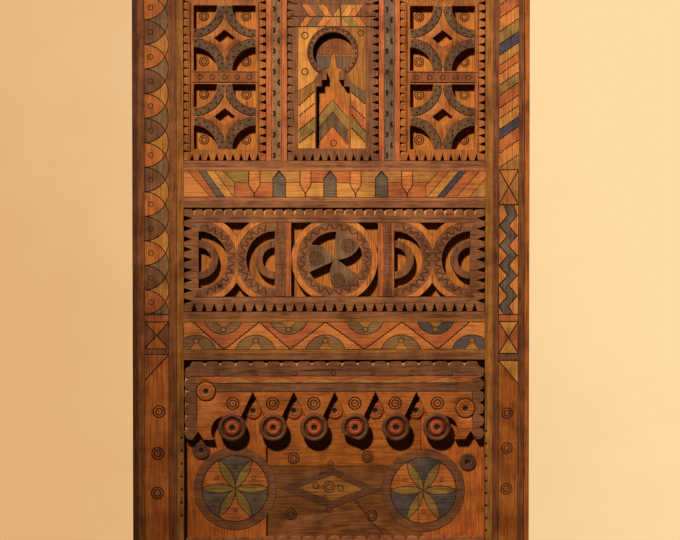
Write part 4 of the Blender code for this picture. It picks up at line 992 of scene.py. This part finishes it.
def bulged(start, end, bulge, steps=6):
    runX, runZ = end[0] - start[0], end[1] - start[1]
    points = []
    for k in range(steps + 1):
        share = k / steps
        out = bulge * 4 * share * (1 - share) / math.hypot(runX, runZ)
        points.append((start[0] + runX * share - runZ * out, start[1] + runZ * share + runX * out))
    return points


for blade in range(3):
    start = wheel["first"] + 120 * blade
    end, following = start + wheel["spread"], start + 120
    hubs = [onCircle(wheelX, wheelZ, wheel["hub"], turn + 30) for turn in (start, following)]
    curve = bulged(onCircle(wheelX, wheelZ, wheel["rim"], end), hubs[0], wheel["bulge"])
    shapes.append(("faded_blue", arcPoints(wheelX, wheelZ, wheel["rim"] + 0.0015, end, following)
                   + [hubs[1], (wheelX, wheelZ)] + curve[::-1], wheel["bladeGap"]))
for left, right in sections:
    middle = (left + right) / 2
    for x, turn, zone in ((left, 0, (left, middle)), (right, 180, (middle, right))):
        for lift in (1, -1):
            ring = (arcPoints(x, wheelZ, arch["edge"], turn + lift * 6, turn + lift * 64, 14)
                    + arcPoints(x, wheelZ, arch["ring"], turn + lift * 80, turn + lift * 6, 14))
            shapes.append(("orange_paint", boxed(ring, *zone, bottom, top), wheel["gap"]))
rungs = {"count": 7, "gap": 0.0012}
posts = [(0.3366, 0.3500), (0.5580, 0.5720), (0.5909, 0.5976)]
shapes += [("red_earth", slab(left, right, bottom, top), 0.0006) for left, right in posts]
step = (top - bottom) / rungs["count"]
for left, right in ((0.3125, 0.3362), (0.5724, 0.5905)):
    shapes += [("umber_stain", slab(left, right, bottom + k * step, bottom + (k + 1) * step), rungs["gap"])
               for k in range(rungs["count"])]
wheelField = inlay("pinwheel_panel_field", plateFront, shapes, "z")
eyes = sized(wheel["eye"], (348, 244), (316.4, 257), (338.2, 279))
carve(wheelField, plateFront - raised, [("triple", eyes, "incised_brown")])
chips = [[], [], [], []]  # strokes that meet go in different groups
zigzag = [onCircle(wheelX, wheelZ, chip["in"] if k % 2 else chip["out"], 360 * k / chip["teeth"])
          for k in range(chip["teeth"])]
for k, stroke in enumerate(strokes(zigzag, True)):
    chips[k % 2].append(stroke)
for left, right in sections:
    for x, turn, group in ((left, 0, 0), (right, 180, 2)):
        zigzag = [onCircle(x, wheelZ, arch["chipIn"] if k % 2 else arch["chipOut"], turn - 77 + arch["pitch"] * k)
                  for k in range(arch["chips"])]
        for k, stroke in enumerate(strokes(zigzag, False)):
            chips[group + k % 2].append(stroke)
# The faces of the chip cuts on the rings are painted dark rust, darker than the panel: painted shade in the cuts
for group in chips:
    carve(panel, plateFront, [], group, chip["width"], "dark_rust_and_shade", chip["flat"])
carve(panel, plateFront, [("dot", sized(0.0110, (219.8, 284.6)))])  # knot hole
lineEnd = 0.024
carve(panel, plateFront, [], [([(low.x + lineEnd, markZ(down)), (high.x - lineEnd, markZ(down))], False)
                              for down in (217.3, 221, 295.5)], 0.0012)
notchBeds("pinwheel_panel", wheel["tooth"], "chip_bare", "x", "top")
for number in range(1, 5):
    softened(f"crescent_{number}", [paint("umber_stain")], edge=0.0018)
print("pinwheel panel carved")

# Apron: brown scallops and beams, red and yellow zigzag, ring-dots over the bosses
low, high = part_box("apron")
apronLook = {"eye": 0.0325, "nail": 0.0125, "grooveEnd": 0.015, "sideTop": 0.003, "sideEnd": 0.045, "socket": 0.0008,
             "socketWidth": 0.0030, "scallopTop": 0.0150, "scallopSide": 0.0125}
beamLow, bandLow, lintelLow = (markZ(down) for down in (374.6, 381.6, 390))
sideLeft = markX(196.5)
sideRight = low.x + high.x - sideLeft


def apronPaint(centre, normal):
    beam = centre.z > beamLow or bandLow > centre.z > lintelLow
    return 1 if beam or centre.x < sideLeft or centre.x > sideRight else 0


apron = softened("apron", [paint("apron_orange", "x"), paint("umber_stain", "x")], apronPaint,
                 [(2, beamLow), (2, bandLow), (2, lintelLow), (0, sideLeft), (0, sideRight)])
zigPeaks = [198, 237.3, 277.7, 318, 357.5, 403, 447, 481.5]
zigValleys = [217, 257, 298, 338.8, 378.4, 425.3, 465]
zigTop, zigLow = 375.0, 381.4
shapes = [("red_earth", marks((a, zigTop), (x, zigLow), (b, zigTop)))
          for a, x, b in zip(zigPeaks, zigValleys, zigPeaks[1:])]
shapes += [("tan_earth", marks((a, zigLow), (b, zigLow), (x, zigTop)))
           for a, x, b in zip(zigValleys, zigPeaks[1:], zigValleys[1:])]
inlay("apron_zigzag", plateFront, shapes, "x", gap=0.0006, height=0.0008)
eyes = sized(apronLook["eye"], *((x, 402) for x in (232.7, 272.5, 313.8, 355, 395.3, 437.7)))
nails = sized(apronLook["nail"], *((216.6 + 39 * k, 372.0) for k in range(7)))
grooves = [([(low.x + apronLook["grooveEnd"], z), (high.x - apronLook["grooveEnd"], z)], False)
           for z in (beamLow, bandLow, lintelLow)]
grooves += [([(x, lintelLow - apronLook["sideTop"]), (x, low.z + apronLook["sideEnd"])], False)
            for x in (sideLeft, sideRight)]
carve(apron, plateFront, [("ring", eyes, "incised_brown"), ("small", nails, "incised_brown")], grooves)
sockets = []
for node in ("apron_roundel_left", "apron_roundel_right"):
    radius = (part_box(node)[1].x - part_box(node)[0].x) / 2 + apronLook["socket"]
    sockets.append((arcPoints(*middleOf(node), radius, 0, 350, 35), True))
carve(apron, plateFront, [], sockets, apronLook["socketWidth"])
notchBeds("apron", apronLook["scallopTop"], "chip_bare", "x", "top", 0.5)
notchBeds("apron", apronLook["scallopSide"], "chip_bare", "z", "left", 0.4)
softened("toe_strip", [paint("tan_strip", "x")])

# Bosses with their red buttons
lift = 0.0003  # of a turned piece off the face below it
seat = plateFront - lift
boss = {"radius": 0.034, "recess": 0.02275, "height": 0.0076, "floor": 0.0015, "bore": 0.0083, "edge": 0.001}
rim = (boss["radius"] - boss["recess"]) / 2
bossProfile = [(boss["bore"], 0.0), (boss["radius"] - boss["edge"], 0.0), (boss["radius"], boss["edge"]),
               *arcPoints(boss["radius"] - rim, boss["height"] - rim, rim, 0, 180, 10),
               (boss["recess"], boss["floor"]), (boss["bore"], boss["floor"])]
bossMaster = turnedShape("boss_master", bossProfile, True)
button = {"shank": 0.008, "head": 0.0202, "groove": 0.0183, "cap": 0.0163, "dimple": 0.0070, "height": 0.0050,
          "foot": -0.0326}
base = boss["floor"] + lift
crest = base + button["height"]
shank, head, groove, cap, dimple = (button[key] for key in ("shank", "head", "groove", "cap", "dimple"))
buttonProfile = [(0.0, button["foot"]), (shank, button["foot"]), (shank, base), (head, base), (head, crest - 0.0020),
                 (head - 0.0008, crest - 0.0012), (groove + 0.0008, crest - 0.0012), (groove, crest - 0.0030),
                 (cap + 0.0006, crest - 0.0028), (cap, crest - 0.0010), (cap - 0.0022, crest),
                 (dimple + 0.001, crest), (dimple, crest - 0.0008), (0.0016, crest - 0.0046), (0.0, crest - 0.0048)]
buttonMaster = turnedShape("button_master", buttonProfile, False)
# The recess inside each boss's rim takes the second paint, dark rust: painted shade in the recess
bossPaints = [paint("boss_umber", "x"), paint("dark_rust_and_shade")]
# Each button's dimple is painted dark and its groove dark rust: painted shade in the hollows
buttonPaints = [paint("button_red", "x"), paint("incised_dark_and_shade"), paint("dark_rust_and_shade", "x")]
buttonShadeZones = [(0, dimple - 0.0005, 1), (cap + 0.0004, groove + 0.0006, 2)]
broken = {"number": 4, "turn": 248, "out": 0.0245}  # the lower rim has split away along the grain
for number in range(1, 7):
    place = middleOf(f"boss_button_{number}")
    ring = placed(bossMaster, f"turned_boss_{number}", f"boss_{number}", place, seat, bossPaints,
                  [(0, boss["recess"] + 0.0004, 1)])
    if number == broken["number"]:
        bpy.ops.mesh.primitive_cube_add(size=0.1)
        split = bpy.context.active_object
        x, z = onCircle(*place, broken["out"], broken["turn"])
        for move in (Matrix.Translation((0.05, 0, 0)), Matrix.Rotation(-math.radians(broken["turn"]), 4, "Y"),
                     Matrix.Translation((x, seat, z))):
            split.data.transform(move)
        cutAway(ring, split)
    placed(buttonMaster, f"turned_button_{number}", f"boss_button_{number}", place, seat, buttonPaints, buttonShadeZones)
bpy.data.objects.remove(bossMaster)
bpy.data.objects.remove(buttonMaster)
roundel = {"spigot": 0.0045, "groove": 0.64, "grooveHalf": 0.0012, "hole": 0.0058}


def roundelProfile(diameter, depth, rise):
    spigot, head = roundel["spigot"], diameter / 2
    line, half = head * roundel["groove"], roundel["grooveHalf"]
    return [(0.0, -depth), (spigot, -depth), (spigot, 0.0), (head, 0.0), (head, rise - 0.0018),
            (head - 0.0006, rise - 0.0006), (head - 0.0022, rise), (line + half, rise), (line, rise - half),
            (line - half, rise), (0.0072, rise), (0.0062, rise - 0.0008), (0.0012, rise - 0.0034),
            (0.0, rise - 0.0036)]


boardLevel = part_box("lower_left_board")[0].y
for nodes, depth, level, finish in [
        (["apron_roundel_left", "apron_roundel_right"], 0.020, seat, "apron_orange"),
        (["board_roundel_left", "board_roundel_right"], 0.012, boardLevel - lift, "boss_umber"),
        ([f"notch_roundel_{k}" for k in range(1, 6)], 0.012, boardLevel - lift, "rust_strip")]:
    corner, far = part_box(nodes[0])
    master = turnedShape("roundel_master", roundelProfile(far.x - corner.x, depth, level - corner.y), False, 40)
    # The centre hole of each roundel is painted dark: painted shade in the hole
    for node in nodes:
        placed(master, f"turned_{node}", node, middleOf(node), level, [paint(finish, "x"), paint("incised_dark_and_shade")],
               [(0, roundel["hole"], 1)])
    bpy.data.objects.remove(master)
print("apron and bosses done")

# Lower boards: two rosettes, a lozenge and ring-dots
seam = {"shadeDepth": 0.0012, "low": 0.1, "high": 0.6}


# Faces sunk more than 1.2 mm behind a board's front, in the seams between the boards, are painted dark: painted shade;
# the backs take the back paint
def seamShadePaint(centre, normal):
    if normal.y > 0.3:
        return 2
    return 1 if centre.y > boardLevel + seam["shadeDepth"] else 0


boards = {node: softened(node, [paint(finish, grain), paint("incised_dark_and_shade"), paint("back_brown", grain)], seamShadePaint,
                         edge=0.0006)
          for node, finish, grain in [("lower_left_board", "board_orange", "z"),
                                      ("lower_centre_top_board", "board_brown", "x"),
                                      ("lower_centre_board", "weathered_board", "x"),
                                      ("lower_right_board", "board_orange", "z")]}
rosette = {"reach": 0.0795, "ringInner": 0.0812, "ringOuter": 0.0996, "ground": 0.0010, "studOut": 0.052,
           "stud": 0.011, "petalGap": 0.0009, "sectorGap": 0.0010}
reach = rosette["reach"]
shapes, studs, ground = [], [], []
for (x, z), sectorPaint in zip(marks((234.7, 488.7), (424.4, 491.1)), ("blue_grey", "blue_slate")):
    ground.append(("incised_brown", arcPoints(x, z, rosette["ringOuter"] + rosette["ground"], 0, 354, 59)))
    for k in range(6):
        turn = 60 * k
        before, after, second = (onCircle(x, z, reach, turn + step) for step in (-60, 60, 120))
        petal = (arcPoints(*before, reach, turn + 120, turn + 60, 10)
                 + arcPoints(*after, reach, turn + 300, turn + 240, 10))
        sector = (arcPoints(x, z, reach, turn + 4, turn + 56, 10)
                  + arcPoints(*second, reach, turn + 356, turn + 313, 8)
                  + arcPoints(*before, reach, turn + 107, turn + 64, 8))
        shapes += [("olive_earth", petal, rosette["petalGap"]),
                   (sectorPaint if k % 2 else "orange_cedar", sector, rosette["sectorGap"])]
        studs.append((*onCircle(x, z, rosette["studOut"], turn + 30), rosette["stud"]))
    for start in (0.1, 180.1):
        shapes.append(("umber_stain", arcPoints(x, z, rosette["ringOuter"], start, start + 179.8, 36)
                       + arcPoints(x, z, rosette["ringInner"], start + 179.8, start, 36), 0.0))
outerLozenge = marks((277.6, 488), (333, 467.6), (381, 490.5), (331, 508.8))
innerLozenge = marks((297, 488.2), (333, 475), (364, 490), (331, 501.6))
for k in range(4):
    following = (k + 1) % 4
    shapes.append(("boss_umber", [outerLozenge[k], outerLozenge[following], innerLozenge[following],
                                  innerLozenge[k]], 0.0002))
shapes.append(("ochre_strip", innerLozenge, 0.0008))
ground.append(("incised_brown", outerLozenge))
roseGround = inlay("lower_board_ground", boardLevel, ground, "x", gap=0.0, height=0.0003, edge=0.0)
roseField = inlay("lower_board_rosettes", boardLevel, shapes, "x")
carve(roseField, boardLevel - raised, [
    ("small", studs, "incised_brown"), ("ring", sized(0.029, (329.3, 487.2)), "incised_brown"),
    ("small", sized(0.017, (315.8, 486), (340.7, 488.6)), "incised_brown")])
leftSeam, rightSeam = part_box("lower_left_board")[1].x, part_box("lower_right_board")[0].x
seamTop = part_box("lower_centre_board")[1].z
for piece in (roseField, roseGround):
    sawn(piece, [(leftSeam - 0.0006, leftSeam + 0.0036, seam["low"], seam["high"]),
                 (rightSeam - 0.0016, rightSeam + 0.0004, seam["low"], seam["high"]),
                 (leftSeam, rightSeam, seamTop - 0.0016, seamTop + 0.0010)])
largeEye, smallEye, seamEye = 0.029, 0.019, 0.017
eyes = sized(largeEye, (329.3, 487.2)) + sized(smallEye, (315.8, 486), (340.7, 488.6), (329.3, 510))
eyes += sized(largeEye, (290.9, 515), (372.3, 516.6))
cracks = [(marks((354.5, 501), (364, 512), (371, 522), (384, 535)), False)]
carve(boards["lower_centre_board"], boardLevel, [("ring", eyes, "incised_brown")], cracks, 0.0018)
eyes = sized(largeEye, (293.4, 458.4), (367.8, 457.2)) + sized(seamEye, (330.7, 464.0))
carve(boards["lower_centre_top_board"], boardLevel, [("ring", eyes, "incised_brown")])
print("lower boards done")

# Camera at the photograph's place
view = {"place": (0.38963, -3.87024, 0.90944), "yaw": 0.02, "pitch": -0.02, "lens": 85.0, "sensor": 36.0}
bpy.ops.object.camera_add(location=view["place"], rotation=(math.pi / 2 + view["pitch"], 0.0, -view["yaw"]))
camera = bpy.context.active_object
camera.data.lens = view["lens"]
camera.data.sensor_width = view["sensor"]
bpy.context.scene.camera = camera


def addLamp(kind, place, power, aim):
    bpy.ops.object.light_add(type=kind, location=place)
    light = bpy.context.active_object
    light.data.energy = power
    light.rotation_euler = (Vector(aim) - Vector(place)).to_track_quat("-Z", "Y").to_euler()
    return light


# Key lamp high on the left; the soft lamps stand behind the leaf and leave its carved face alone
lamp = {"place": (-0.616, -2.6, 3.2), "aim": (0.95, 0.0, 0.75), "power": 880.0, "radius": 0.16, "spread": 44,
        "tint": "#FFF4E6"}
softLamp = {"aim": (0.45, 0.0, 0.85), "size": 1.8}
key = addLamp("SPOT", lamp["place"], lamp["power"], lamp["aim"])
key.data.color = tone(lamp["tint"])[:3]
key.data.shadow_soft_size = lamp["radius"]
key.data.spot_size = math.radians(lamp["spread"])
key.data.spot_blend = 1.0
for place, power in [((0.45, 3.4, 2.0), 130.0), ((-2.6, 1.6, 1.6), 45.0), ((3.5, 1.6, 1.6), 45.0)]:  # back, sides
    soft = addLamp("AREA", place, power, softLamp["aim"])
    soft.data.size = softLamp["size"]
    soft.visible_camera = False

# Warm backdrop, for the camera alone: plaster patches, and painted light that makes it lighter towards the top and the
# right; it gives next to no light
backdrop = {"dark": "#E6BC88", "light": "#FFE0B0", "glow": 0.02, "patch": 0.34, "rise": 0.9, "across": 2.2,
            "half": 0.42}
room = bpy.data.worlds.new("room")
bpy.context.scene.world = room
room.use_nodes = True
tree = room.node_tree
sky = tree.nodes["Background"]
path = addNode(tree, "ShaderNodeLightPath", {}, {})
glow = addNode(tree, "ShaderNodeMapRange", {}, {
    "Value": path.outputs["Is Camera Ray"], "To Min": backdrop["glow"], "To Max": 1.0})
bearing = addNode(tree, "ShaderNodeTexCoord", {}, {}).outputs["Generated"]
parts = addNode(tree, "ShaderNodeSeparateXYZ", {}, {0: bearing})
patches = addNode(tree, "ShaderNodeTexNoise", {}, {"Vector": bearing, "Scale": 14.0, "Detail": 9.0, "Roughness": 0.62})
shade = -backdrop["patch"] / 2
for value, share in ((patches.outputs["Fac"], backdrop["patch"]), (parts.outputs["Z"], backdrop["rise"]),
                     (parts.outputs["X"], backdrop["across"])):
    shade = addNode(tree, "ShaderNodeMath", {"operation": "MULTIPLY_ADD"}, {0: value, 1: share, 2: shade}).outputs[0]
lit = addNode(tree, "ShaderNodeMapRange", {}, {
    "Value": shade, "From Min": -backdrop["half"], "From Max": backdrop["half"]})
wash = addNode(tree, "ShaderNodeMix", {"data_type": "RGBA"}, {
    "Factor": lit.outputs[0], 6: tone(backdrop["dark"]), 7: tone(backdrop["light"])})
tree.links.new(wash.outputs[2], sky.inputs["Color"])
tree.links.new(glow.outputs[0], sky.inputs["Strength"])

# Pale plaster floor: flat and chalky, with the room's light on the floor alone
floorLook = {"tint": "#D8C9B0", "roughness": 0.9, "roomLight": 0.34, "size": 6, "place": (0.45, -2.1, 0)}
bpy.ops.mesh.primitive_plane_add(size=floorLook["size"], location=floorLook["place"])
floor = bpy.context.active_object
floor.name = "floor"
floor.visible_diffuse = False  # its bounce stays off the carved face
floorPaint = bpy.data.materials.new("pale_plaster_floor")
floorPaint.use_nodes = True
plaster = floorPaint.node_tree.nodes["Principled BSDF"]
plaster.inputs["Base Color"].default_value = tone(floorLook["tint"])
plaster.inputs["Roughness"].default_value = floorLook["roughness"]
plaster.inputs["Emission Color"].default_value = tone(floorLook["tint"])
plaster.inputs["Emission Strength"].default_value = floorLook["roomLight"]
floor.data.materials.append(floorPaint)

bpy.context.scene.view_settings.view_transform = "Standard"
bpy.context.scene.view_settings.gamma = 0.84
nodePaints = {"umber_cedar": "umber_stain", "orange_cedar": "orange_cedar", "ochre_board": "back_ochre",
              "grey_cedar": "grey_brown", "red_cedar": "button_red", "raw_cedar": "raw_cedar"}
for node, piece in frame["nodes"].items():
    if piece.data.materials:
        piece.data.materials[0] = paint(nodePaints[slotOf[node]])
